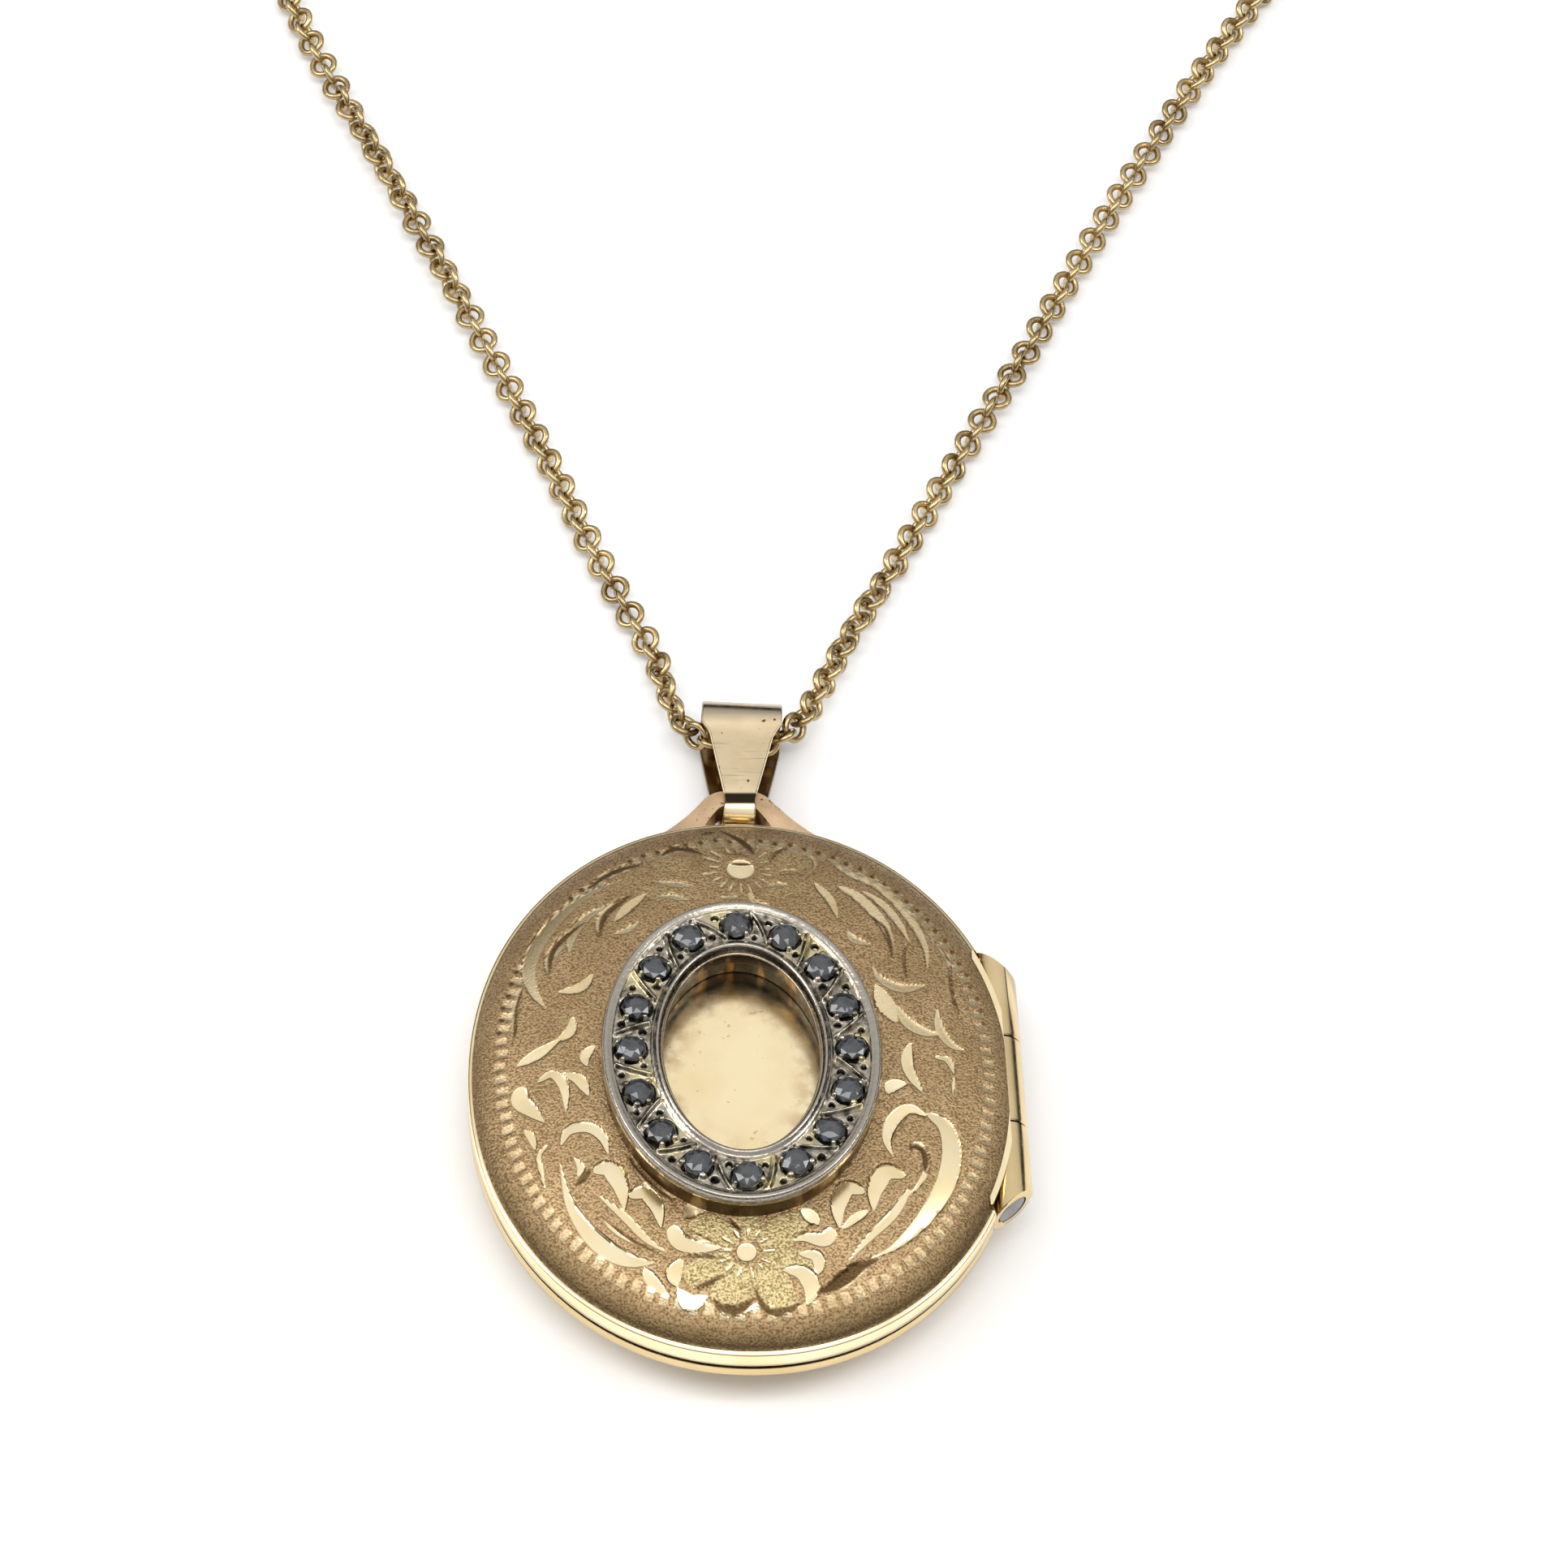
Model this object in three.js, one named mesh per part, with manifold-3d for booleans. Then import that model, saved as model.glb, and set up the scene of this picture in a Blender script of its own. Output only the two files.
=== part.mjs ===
// A slightly oval photo locket on its chain, lying on its back with the clasp closed.
// Millimetres. The origin is the middle of the back's flat face, +Z runs out of the front,
// +Y towards the chain and +X towards the hinge.
import * as THREE from 'three';
import { mergeVertices, toCreasedNormals } from 'three/addons/utils/BufferGeometryUtils.js';
import Module from 'manifold-3d';

const wasm = await Module();
wasm.setup();

// ---- Driving dimensions --------------------------------------------------------------------
const HALF_WIDTH = 12.6; // cover, along X
const HALF_HEIGHT = 14.6; // cover, along Y
const SQUARENESS = 2.07; // the covers' outline is an oval, a touch squarer than an ellipse
const STRETCH = HALF_HEIGHT / HALF_WIDTH;
const WALL = 0.5;
const GAP = 0.04; // between soldered neighbours, which are separate solids

const BACK_RIM_LOW = 2.2; // back cover's polished rim band
const BACK_RIM_HIGH = 2.78;
const FRONT_RIM_LOW = 2.98; // front cover's polished rim band
const FRONT_RIM_HIGH = 3.88;
const BACK_FLAT_RADIUS = 7.3;

const DOME_RADIUS = 12.35; // front cover's dome, outside
const DOME_FOOT = 3.95;
const DOME_RISE = 1.75;
const DOME_INNER_RADIUS = 11.98;
const DOME_INNER_FOOT = 3.9;
const DOME_INNER_RISE = 1.3;

const SETTING_HALF_WIDTH = 5.0; // oval through the stones' centres
const SETTING_HALF_HEIGHT = 6.83;
const SETTING_CENTRE = [-0.25, -0.15];
const WELL_HOLE_OFFSET = -0.6; // hole in the front cover, measured outwards from that oval
const COLLAR_OUTER_OFFSET = 1.3;
const COLLAR_TOP = 6.4;
const PLATE_TOP = 4.65;
const PLATE_THICKNESS = 0.28;
const STONE_COUNT = 16;
const STONE_RADIUS = 0.7;
const RING_FACE = 6.82; // between the stones
const STONE_TABLE_HEIGHT = 7.04;
const SEAT_RADIUS = 0.76;

const HINGE_X = 11.9;
const HINGE_Z = 3.15;
const BARREL_RADIUS = 0.98;
const BARREL_BORE = 0.66;
const PIN_RADIUS = 0.61;
const HINGE_HALF_LENGTH = 6.6;
const KNUCKLE_SEAM = 2.35;
const MITRE = 0.85; // the barrel's ends follow the cover's outline
const BARREL_CLEARANCE = 0.09;

const LOOP_X = 0.3;
const LOOP_FOOT = 4.5; // half the spread of its feet
const LOOP_LOW = 2.3;
const LOOP_THICKNESS = 1.1;

const CHAIN_DIAMETER = 1.5;
const BAIL_THICKNESS = 0.3;
const BAIL_FOLD_WIDTH = 3.85;
const BAIL_FRONT_WIDTH = 1.4;
const BAIL_REAR_WIDTH = 2.35;
const BAIL_PIVOT_Y = 16.3; // the loop's crown, about which the bail leans
const BAIL_OFFSET = 0.14; // of the bail's middle from the loop's
const BAIL_LEAN = -3.6; // degrees about Z, from the loop

// The chain's centreline from the clasp to the coil. It rises a little inside the bail.
const CHAIN_ROUTE = [
  [23.6, 82.6, 0.78], [26.3, 82.5, 0.76], [29.3, 81.6, 0.75], [31.6, 79.6, 0.75], [32.4, 76.8, 0.75],
  [31.8, 74.0, 0.75], [30.2, 71.4, 0.75], [27.6, 67.3, 0.75], [25.2, 63.2, 0.75], [22.9, 59.1, 0.75],
  [20.6, 54.9, 0.75], [18.3, 50.5, 0.75], [16.2, 46.4, 0.75], [13.8, 42.1, 0.75], [11.5, 37.8, 0.75],
  [8.8, 32.7, 0.75], [6.3, 28.1, 0.8], [5.0, 25.2, 1.05], [3.95, 23.0, 1.36], [2.9, 21.65, 1.52],
  [1.8, 21.17, 1.56], [0.75, 21.08, 1.56], [-0.3, 21.17, 1.56], [-1.4, 21.65, 1.52], [-2.25, 23.0, 1.36],
  [-2.75, 24.9, 1.05], [-3.15, 26.9, 0.78], [-4.6, 30.3, 0.75], [-6.3, 34.5, 0.75], [-7.8, 38.6, 0.75],
  [-9.5, 43.0, 0.75], [-11.5, 48.0, 0.75], [-13.3, 52.4, 0.75], [-15.0, 56.4, 0.75], [-16.8, 60.6, 0.75],
  [-18.8, 65.1, 0.75], [-20.6, 69.6, 0.75], [-21.6, 73.2, 0.75], [-21.2, 76.4, 0.75], [-18.9, 78.6, 0.75],
  [-15.9, 79.1, 0.75], [-13.4, 79.6, 0.75],
];

const COIL_CENTRE = [-2.8, 85.1];
const COIL_MEAN_RADIUS = 8.3;
const COIL_HALF_WIDTH = 1.5; // two strands side by side
const COIL_LOW = 0.3; // the tie passes under it
const COIL_HIGH = 4.7; // three strands high
const TAIL_ROUTE = [
  [13.1, 82.6, 0.78], [11.3, 82.3, 0.85], [9.6, 81.5, 1.0], [8.1, 80.4, 1.2], [6.3, 79.4, 1.3],
];

const CLASP_CENTRE = [17.3, 82.6, 1.0];
const CLASP_RING_RADIUS = 2.2; // to the middle of its tube
const CLASP_TUBE_RADIUS = 0.62;
const CLASP_BORE = 0.42;
const CLASP_BOLT_RADIUS = 0.34;
const CLASP_MOUTH_FROM = 153; // degrees round the ring, closed by the bolt
const CLASP_MOUTH_TO = 207;
const CLASP_TRAVEL = 50;
const LINK_RING_WIRE = 0.2;

const METAL = {
  matte: [0xa08958, 0.55], bright: [0xe0c288, 0.22], polished: [0xe6cf9a, 0.12], white: [0xa6a39c, 0.35],
  rose: [0xc69f74, 0.45], bail: [0xdcc396, 0.16], chain: [0xbda96c, 0.3], steel: [0x85857f, 0.4],
};

// ---- Helpers -------------------------------------------------------------------------------
const metal = ([color, roughness]) => new THREE.MeshStandardMaterial({ color, roughness, metalness: 1 });

const locket = new THREE.Group();
locket.name = 'locket';

function add(name, geometry, material) {
  const mesh = new THREE.Mesh(geometry, material);
  mesh.name = name;
  locket.add(mesh);
  return mesh;
}

function toSolid(geometry) {
  const bare = geometry.clone();
  bare.deleteAttribute('normal');
  bare.deleteAttribute('uv');
  const merged = mergeVertices(bare, 1e-4);
  return new wasm.Manifold(new wasm.Mesh({
    numProp: 3,
    vertProperties: new Float32Array(merged.attributes.position.array),
    triVerts: new Uint32Array(merged.index.array),
  }));
}

function toGeometry(solid) {
  const mesh = solid.getMesh();
  const geometry = new THREE.BufferGeometry();
  geometry.setAttribute('position', new THREE.BufferAttribute(new Float32Array(mesh.vertProperties), 3));
  geometry.setIndex(new THREE.BufferAttribute(new Uint32Array(mesh.triVerts), 1));
  return toCreasedNormals(geometry, 0.6);
}

const cut = (geometry, ...tools) => toGeometry(
  tools.reduce((solid, tool) => solid.subtract(toSolid(tool)), toSolid(geometry)));

// A body turned about +Z from (radius, height) points.
function turned(points, segments = 48) {
  const profile = points.map(([r, z]) => new THREE.Vector2(r, z));
  const geometry = new THREE.LatheGeometry(profile, segments);
  geometry.rotateX(Math.PI / 2); // the lathe's Y axis becomes +Z
  return geometry;
}

// How far the covers' outline stands from the centre in a direction, as a share of an ellipse's.
const bulge = (x, y) => (Math.abs(x) ** SQUARENESS + Math.abs(y) ** SQUARENESS) ** (-1 / SQUARENESS);

// A turned body stretched to the covers' oval. Its radii are measured along X.
function coverShaped(points, segments = 48) {
  const geometry = turned(points, segments);
  const position = geometry.attributes.position;
  for (let i = 0; i < position.count; i++) {
    const [x, y] = [position.getX(i), position.getY(i)];
    const r = Math.hypot(x, y);
    const share = r > 0 ? bulge(x / r, y / r) : 1;
    position.setXY(i, x * share, y * share * STRETCH);
  }
  geometry.computeVertexNormals();
  return geometry;
}

// The outline's Y at an X.
const outlineY = (x) => HALF_HEIGHT * (1 - (Math.abs(x) / HALF_WIDTH) ** SQUARENESS) ** (1 / SQUARENESS);

// Points spaced evenly along the oval through the stones, moved outwards by offset.
function settingOval(count, offset = 0) {
  const steps = 720;
  const at = (t) => [SETTING_HALF_WIDTH * Math.sin(t), SETTING_HALF_HEIGHT * Math.cos(t)];
  const [middleX, middleY] = SETTING_CENTRE;
  const lengths = [0];
  for (let i = 1; i <= steps; i++) {
    const [x0, y0] = at(((i - 1) / steps) * 2 * Math.PI);
    const [x1, y1] = at((i / steps) * 2 * Math.PI);
    lengths.push(lengths[i - 1] + Math.hypot(x1 - x0, y1 - y0));
  }
  const points = [];
  for (let k = 0; k < count; k++) {
    const wanted = (lengths[steps] * k) / count;
    const i = lengths.findIndex((length, j) => j > 0 && length >= wanted - 1e-9);
    const t = ((i - 1 + (wanted - lengths[i - 1]) / (lengths[i] - lengths[i - 1])) / steps) * 2 * Math.PI;
    const [x, y] = at(t);
    const normal = new THREE.Vector2(x / SETTING_HALF_WIDTH ** 2, y / SETTING_HALF_HEIGHT ** 2).normalize();
    points.push(new THREE.Vector2(middleX + x + normal.x * offset, middleY + y + normal.y * offset));
  }
  return points;
}

// A closed profile of (offset, height) points carried round that oval: an oval ring.
function ovalRing(profile, count = 40) {
  const rows = profile.map(([offset, z]) => settingOval(count, offset).map((p) => [p.x, p.y, z]));
  const vertices = rows.flat(2);
  const index = [];
  for (let i = 0; i < profile.length; i++) {
    const next = (i + 1) % profile.length;
    for (let k = 0; k < count; k++) {
      const a = i * count + k;
      const b = i * count + ((k + 1) % count);
      const c = next * count + k;
      const d = next * count + ((k + 1) % count);
      index.push(a, b, c, b, d, c);
    }
  }
  return outward(closedGeometry(vertices, index));
}

// An oval disc of the setting's outline, moved outwards by offset.
function ovalDisc(offset, low, high, count = 40) {
  const shape = new THREE.Shape(settingOval(count, offset));
  const geometry = new THREE.ExtrudeGeometry(shape, { depth: high - low, bevelEnabled: false });
  geometry.translate(0, 0, low);
  return geometry;
}

function closedGeometry(vertices, index) {
  const geometry = new THREE.BufferGeometry();
  geometry.setAttribute('position', new THREE.Float32BufferAttribute(vertices, 3));
  geometry.setIndex(index);
  geometry.computeVertexNormals();
  return geometry;
}

// Turns the faces round if the body's signed volume says that they point in.
function outward(geometry) {
  const position = geometry.attributes.position;
  const index = geometry.index.array;
  const [a, b, c] = [new THREE.Vector3(), new THREE.Vector3(), new THREE.Vector3()];
  let volume = 0;
  for (let i = 0; i < index.length; i += 3) {
    a.fromBufferAttribute(position, index[i]);
    b.fromBufferAttribute(position, index[i + 1]);
    c.fromBufferAttribute(position, index[i + 2]);
    volume += a.dot(b.cross(c));
  }
  if (volume < 0) {
    geometry.setIndex(Array.from(index).reverse());
    geometry.computeVertexNormals();
  }
  return geometry;
}

// A tube along Y between two ends, each end slanted across X.
function barrel(outer, bore, from, to, slantFrom = 0, slantTo = 0, sides = 24) {
  const profile = bore > 0
    ? [[bore, from], [outer, from], [outer, to], [bore, to], [bore, from]]
    : [[0, from], [outer, from], [outer, to], [0, to]];
  const geometry = new THREE.LatheGeometry(profile.map(([r, y]) => new THREE.Vector2(r, y)), sides);
  const position = geometry.attributes.position;
  for (let i = 0; i < position.count; i++) {
    const slant = position.getY(i) > (from + to) / 2 ? slantTo : slantFrom;
    position.setY(i, position.getY(i) + slant * position.getX(i));
  }
  geometry.computeVertexNormals();
  geometry.translate(HINGE_X, 0, HINGE_Z);
  return geometry;
}

function boxBetween(low, high) {
  const size = low.map((value, i) => high[i] - value);
  const geometry = new THREE.BoxGeometry(...size);
  geometry.translate(...low.map((value, i) => value + size[i] / 2));
  return geometry;
}

const domeHeight = (r, radius, foot, rise) => foot + rise * (1 - (r / radius) ** 2.6) ** 0.62;

// Dome points from the edge to the axis, closer together where the curve turns over.
function domeProfile(radius, foot, rise) {
  const shares = [1, 0.98, 0.93, 0.85, 0.74, 0.6, 0.45, 0];
  return shares.map((share) => [radius * share, domeHeight(radius * share, radius, foot, rise)]);
}

// ---- Back half -----------------------------------------------------------------------------
const TRENCH_HALF_LENGTH = 7.9; // the rims are cut away beside the barrel
const WALL_BY_HINGE = 10.7;
const CATCH_RIM = [11.62, 11.86]; // inner and outer radius
const FRAME_INNER = 9.8;
const FRAME_THICKNESS = 0.27;
const WINDOW_RADIUS = 10.2;
const WINDOW_THICKNESS = 0.18;

// A closed outline with a rectangular section, for a ring between two radii and two heights.
function bandSection([inner, outer], low, high) {
  return [[inner, low], [outer, low], [outer, high], [inner, high], [inner, low]];
}

function windowSection(low) {
  const high = low + WINDOW_THICKNESS;
  return [[0, low], [WINDOW_RADIUS, low], [WINDOW_RADIUS, high], [0, high]];
}

const hingeTrench = barrel(BARREL_RADIUS + BARREL_CLEARANCE, 0, -TRENCH_HALF_LENGTH, TRENCH_HALF_LENGTH);
const hingeOutside = boxBetween(
  [HINGE_X, -TRENCH_HALF_LENGTH, 1.9], [HINGE_X + 3, TRENCH_HALF_LENGTH, 8]);

const backCover = coverShaped([
  [0, 0], [BACK_FLAT_RADIUS, 0], [9.2, 0.26], [10.85, 0.85], [11.9, 1.55], [12.4, 2.08],
  [HALF_WIDTH, BACK_RIM_LOW], [HALF_WIDTH, BACK_RIM_HIGH], [11.9, BACK_RIM_HIGH], [11.9, 2.35],
  [11.35, 1.95], [10.4, 1.32], [9.0, 0.75], [BACK_FLAT_RADIUS, WALL], [0, WALL],
]);
add('back_cover', cut(backCover, hingeTrench, hingeOutside), metal(METAL.bright));

const innerTrench = boxBetween([WALL_BY_HINGE, -16, 0], [16, 16, 8]);
const catchRim = coverShaped(bandSection(CATCH_RIM, 2.42, 3.5));
add('catch_rim', cut(catchRim, innerTrench), metal(METAL.polished));

const backFrame = coverShaped(bandSection([FRAME_INNER, 11.56], 2.25, 2.25 + FRAME_THICKNESS));
add('back_photo_frame', cut(backFrame, innerTrench), metal(METAL.polished));
const clear = new THREE.MeshStandardMaterial({
  color: 0xf2f5f4, roughness: 0.05, transparent: true, opacity: 0.3,
});
add('back_photo_window', coverShaped(windowSection(2.02)), clear);

add('hinge_knuckle_upper',
  barrel(BARREL_RADIUS, BARREL_BORE, KNUCKLE_SEAM + GAP, HINGE_HALF_LENGTH, 0, -MITRE),
  metal(METAL.bright));
add('hinge_knuckle_lower',
  barrel(BARREL_RADIUS, BARREL_BORE, -HINGE_HALF_LENGTH, -KNUCKLE_SEAM - GAP, MITRE, 0),
  metal(METAL.bright));
add('hinge_pin', barrel(PIN_RADIUS, 0, -HINGE_HALF_LENGTH, HINGE_HALF_LENGTH, MITRE, -MITRE),
  metal(METAL.steel));

// Arch of folded strip whose feet follow the cover's edge.
function loopShape() {
  const edge = (x) => outlineY(x) + 0.06;
  const shape = new THREE.Shape();
  shape.moveTo(LOOP_X - LOOP_FOOT, edge(LOOP_X - LOOP_FOOT));
  shape.lineTo(LOOP_X - 2.6, edge(LOOP_X - 2.6));
  shape.lineTo(LOOP_X - 1.7, edge(LOOP_X - 1.7));
  shape.quadraticCurveTo(LOOP_X - 1.5, 15.1, LOOP_X - 0.95, 15.8);
  shape.quadraticCurveTo(LOOP_X - 0.75, 16.05, LOOP_X - 0.4, 16.05);
  shape.lineTo(LOOP_X + 0.4, 16.05);
  shape.quadraticCurveTo(LOOP_X + 0.75, 16.05, LOOP_X + 0.95, 15.8);
  shape.quadraticCurveTo(LOOP_X + 1.5, 15.1, LOOP_X + 1.7, edge(LOOP_X + 1.7));
  shape.lineTo(LOOP_X + 2.6, edge(LOOP_X + 2.6));
  shape.lineTo(LOOP_X + LOOP_FOOT, edge(LOOP_X + LOOP_FOOT));
  shape.quadraticCurveTo(LOOP_X + 3.0, 14.6, LOOP_X + 1.8, 16.1);
  shape.quadraticCurveTo(LOOP_X + 1.3, 16.9, LOOP_X + 0.5, 16.9);
  shape.lineTo(LOOP_X - 0.5, 16.9);
  shape.quadraticCurveTo(LOOP_X - 1.3, 16.9, LOOP_X - 1.8, 16.1);
  shape.quadraticCurveTo(LOOP_X - 3.0, 14.6, LOOP_X - LOOP_FOOT, edge(LOOP_X - LOOP_FOOT));
  return shape;
}
const loopGeometry = new THREE.ExtrudeGeometry(loopShape(), {
  depth: LOOP_THICKNESS, bevelEnabled: false, curveSegments: 5,
});
loopGeometry.translate(0, 0, LOOP_LOW);
add('hanging_loop', loopGeometry, metal(METAL.rose));

// ---- Front half ----------------------------------------------------------------------------
const frontCover = coverShaped([
  [HALF_WIDTH, FRONT_RIM_LOW], [HALF_WIDTH, FRONT_RIM_HIGH],
  ...domeProfile(DOME_RADIUS, DOME_FOOT, DOME_RISE),
  ...domeProfile(DOME_INNER_RADIUS, DOME_INNER_FOOT, DOME_INNER_RISE).reverse(),
  [DOME_INNER_RADIUS, FRONT_RIM_LOW], [HALF_WIDTH, FRONT_RIM_LOW],
]);
const frontTrench = boxBetween(
  [HINGE_X - BARREL_RADIUS - BARREL_CLEARANCE, -TRENCH_HALF_LENGTH, 2], [16, TRENCH_HALF_LENGTH, 8]);
const wellHole = ovalDisc(WELL_HOLE_OFFSET, 2, 9);
add('front_cover', cut(frontCover, frontTrench, wellHole), metal(METAL.matte));

add('hinge_knuckle_middle', barrel(BARREL_RADIUS, BARREL_BORE, -KNUCKLE_SEAM + GAP, KNUCKLE_SEAM - GAP),
  metal(METAL.bright));

// The collar stands on the dome and reaches down through the hole to the plate.
const domeAllowance = cut(
  coverShaped([[0, 3], [DOME_RADIUS, 3], ...domeProfile(DOME_RADIUS, DOME_FOOT + GAP, DOME_RISE)]),
  ovalDisc(WELL_HOLE_OFFSET - GAP, 2, 9));
const collar = ovalRing([
  [COLLAR_OUTER_OFFSET, 5.0], [COLLAR_OUTER_OFFSET, COLLAR_TOP], [-1.3, COLLAR_TOP], [-1.3, 5.6],
  [-1.15, 5.5], [-1.15, PLATE_TOP + GAP],
  [WELL_HOLE_OFFSET - GAP, PLATE_TOP + GAP], [WELL_HOLE_OFFSET - GAP, 5.0],
]);
add('bezel_collar', cut(collar, domeAllowance), metal(METAL.bright));
add('well_plate', ovalDisc(WELL_HOLE_OFFSET - GAP, PLATE_TOP - PLATE_THICKNESS, PLATE_TOP),
  metal(METAL.polished));

const stoneCentres = settingOval(STONE_COUNT);
const seats = stoneCentres.map(({ x, y }) => {
  const seat = new THREE.CylinderGeometry(SEAT_RADIUS, SEAT_RADIUS, 2, 10);
  seat.rotateX(Math.PI / 2);
  seat.translate(x, y, RING_FACE + 0.86);
  return seat;
});
const ring = ovalRing([
  [1.38, COLLAR_TOP + GAP], [1.38, RING_FACE - 0.04], [1.12, RING_FACE + 0.06],
  [0.8, RING_FACE], [-0.8, RING_FACE],
  [-0.95, RING_FACE + 0.14], [-1.2, RING_FACE + 0.22], [-1.45, RING_FACE + 0.12], [-1.45, 6.62],
  [-1.3, COLLAR_TOP + GAP],
]);
add('bezel_ring', cut(ring, ...seats), metal(METAL.white));

const dark = new THREE.MeshStandardMaterial({ color: 0x262a2d, roughness: 0.08 });
stoneCentres.forEach(({ x, y }, i) => {
  const stone = turned([
    [0, RING_FACE - 0.1], [0.35, RING_FACE - 0.1], [STONE_RADIUS, RING_FACE + 0.06],
    [0.42, STONE_TABLE_HEIGHT], [0, STONE_TABLE_HEIGHT],
  ], 8);
  stone.translate(x, y, 0);
  add(`stone_${String(i + 1).padStart(2, '0')}`, stone, dark);
});

const frontFrame = coverShaped([
  [FRAME_INNER, 3.22], [11.4, 3.22], [11.4, 4.0], [11.1, 4.0], [11.1, 3.5], [FRAME_INNER, 3.5],
  [FRAME_INNER, 3.22],
]);
add('front_photo_frame', cut(frontFrame, innerTrench), metal(METAL.polished));
add('front_photo_window', coverShaped(windowSection(3.55)), clear);

// ---- Bail: a strip wrapped round the chain and closed under the loop's top -------------------
const FOLD_CENTRE = new THREE.Vector2(21.65, 1.6); // (y, z)
const FOLD_INNER = 1.24;
const TOE_Y = 15.4;

// Inner face of the closed strip in the (y, z) plane, with the strip's half width at each point.
function bailSections() {
  const half = (w) => w / 2;
  const sections = [];
  const leaf = (from, to, widthFrom, widthTo, count) => {
    for (let i = 0; i < count; i++) {
      const t = i / count;
      sections.push([from[0] + (to[0] - from[0]) * t, from[1] + (to[1] - from[1]) * t,
        half(widthFrom + (widthTo - widthFrom) * t)]);
    }
  };
  const steps = 14;
  for (let i = 0; i < steps; i++) { // round the fold, from under the chain to over it
    const angle = -1.65 + (3.5 * i) / (steps - 1);
    sections.push([FOLD_CENTRE.x + FOLD_INNER * Math.cos(angle), FOLD_CENTRE.y + FOLD_INNER * Math.sin(angle),
      half(BAIL_FOLD_WIDTH)]);
  }
  leaf([20.5, 2.92], [16.05, 3.68], 3.05, BAIL_FRONT_WIDTH, 5);
  const toe = 7;
  for (let i = 0; i <= toe; i++) { // round the toe, back under the loop
    const angle = Math.PI / 2 + (Math.PI * i) / toe;
    const share = i / toe;
    sections.push([16.05 + (16.05 - TOE_Y) * Math.cos(angle), 2.86 + 0.82 * Math.sin(angle),
      half(BAIL_FRONT_WIDTH + (BAIL_REAR_WIDTH - 0.5 - BAIL_FRONT_WIDTH) * share)]);
  }
  leaf([16.6, 1.9], [20.8, 0.5], BAIL_REAR_WIDTH, BAIL_FOLD_WIDTH - 0.2, 5);
  return sections;
}

function bailGeometry() {
  const sections = bailSections();
  const count = sections.length;
  const vertices = [];
  sections.forEach(([y, z, half], i) => {
    const [y0, z0] = sections[(i + count - 1) % count];
    const [y1, z1] = sections[(i + 1) % count];
    const away = new THREE.Vector2(z1 - z0, -(y1 - y0)).normalize().multiplyScalar(BAIL_THICKNESS);
    vertices.push(-half, y, z, half, y, z, half, y + away.x, z + away.y, -half, y + away.x, z + away.y);
  });
  const index = [];
  for (let i = 0; i < count; i++) {
    for (let k = 0; k < 4; k++) {
      const a = i * 4 + k;
      const b = i * 4 + ((k + 1) % 4);
      const c = ((i + 1) % count) * 4 + k;
      const d = ((i + 1) % count) * 4 + ((k + 1) % 4);
      index.push(a, b, c, b, d, c);
    }
  }
  const geometry = outward(closedGeometry(vertices, index));
  geometry.translate(0, -BAIL_PIVOT_Y, 0);
  geometry.rotateZ((BAIL_LEAN * Math.PI) / 180);
  geometry.translate(LOOP_X + BAIL_OFFSET, BAIL_PIVOT_Y, 0);
  return geometry;
}
add('bail', bailGeometry(), metal(METAL.bail));

// ---- Chain, coil and clasp -------------------------------------------------------------------
function section(radius, sides) {
  const points = [];
  for (let i = 0; i < sides; i++) {
    const angle = ((i + 0.5) / sides) * 2 * Math.PI;
    points.push(new THREE.Vector2(radius * Math.cos(angle), radius * Math.sin(angle)));
  }
  return new THREE.Shape(points);
}

function tube(path, radius, sides, steps) {
  return new THREE.ExtrudeGeometry(section(radius, sides), { extrudePath: path, steps, bevelEnabled: false });
}

function pathThrough(route) {
  return new THREE.CatmullRomCurve3(route.map((p) => new THREE.Vector3(...p)), false, 'centripetal');
}

add('chain', tube(pathThrough(CHAIN_ROUTE), CHAIN_DIAMETER / 2, 8, 80), metal(METAL.chain));

const COIL_BEVEL = 0.35;
const [coilIn, coilOut] = [COIL_MEAN_RADIUS - COIL_HALF_WIDTH, COIL_MEAN_RADIUS + COIL_HALF_WIDTH];
const coil = turned([
  [coilIn, COIL_LOW + COIL_BEVEL], [coilIn + COIL_BEVEL, COIL_LOW], [coilOut - COIL_BEVEL, COIL_LOW],
  [coilOut, COIL_LOW + COIL_BEVEL], [coilOut, COIL_HIGH - COIL_BEVEL], [coilOut - COIL_BEVEL, COIL_HIGH],
  [coilIn + COIL_BEVEL, COIL_HIGH], [coilIn, COIL_HIGH - COIL_BEVEL], [coilIn, COIL_LOW + COIL_BEVEL],
], 32);
coil.translate(...COIL_CENTRE, 0);
add('chain_coil', coil, metal(METAL.chain));

add('chain_tail', tube(pathThrough(TAIL_ROUTE), CHAIN_DIAMETER / 2, 8, 6), metal(METAL.chain));

// A flat band round the coil's turns, at its far side.
function tieGeometry() {
  const [slack, band, width] = [0.12, 0.16, 1.2];
  const frame = (grow) => [
    new THREE.Vector2(coilIn - grow, COIL_LOW - grow), new THREE.Vector2(coilOut + grow, COIL_LOW - grow),
    new THREE.Vector2(coilOut + grow, COIL_HIGH + grow), new THREE.Vector2(coilIn - grow, COIL_HIGH + grow),
  ];
  const shape = new THREE.Shape(frame(slack + band));
  shape.holes.push(new THREE.Path(frame(slack)));
  const geometry = new THREE.ExtrudeGeometry(shape, { depth: width, bevelEnabled: false });
  geometry.translate(0, 0, -width / 2);
  geometry.rotateX(Math.PI / 2);
  geometry.rotateZ(Math.PI / 2);
  geometry.translate(...COIL_CENTRE, 0);
  return geometry;
}
add('coil_tie', tieGeometry(), new THREE.MeshStandardMaterial({ color: 0xe8e4da, roughness: 0.8 }));

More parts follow.
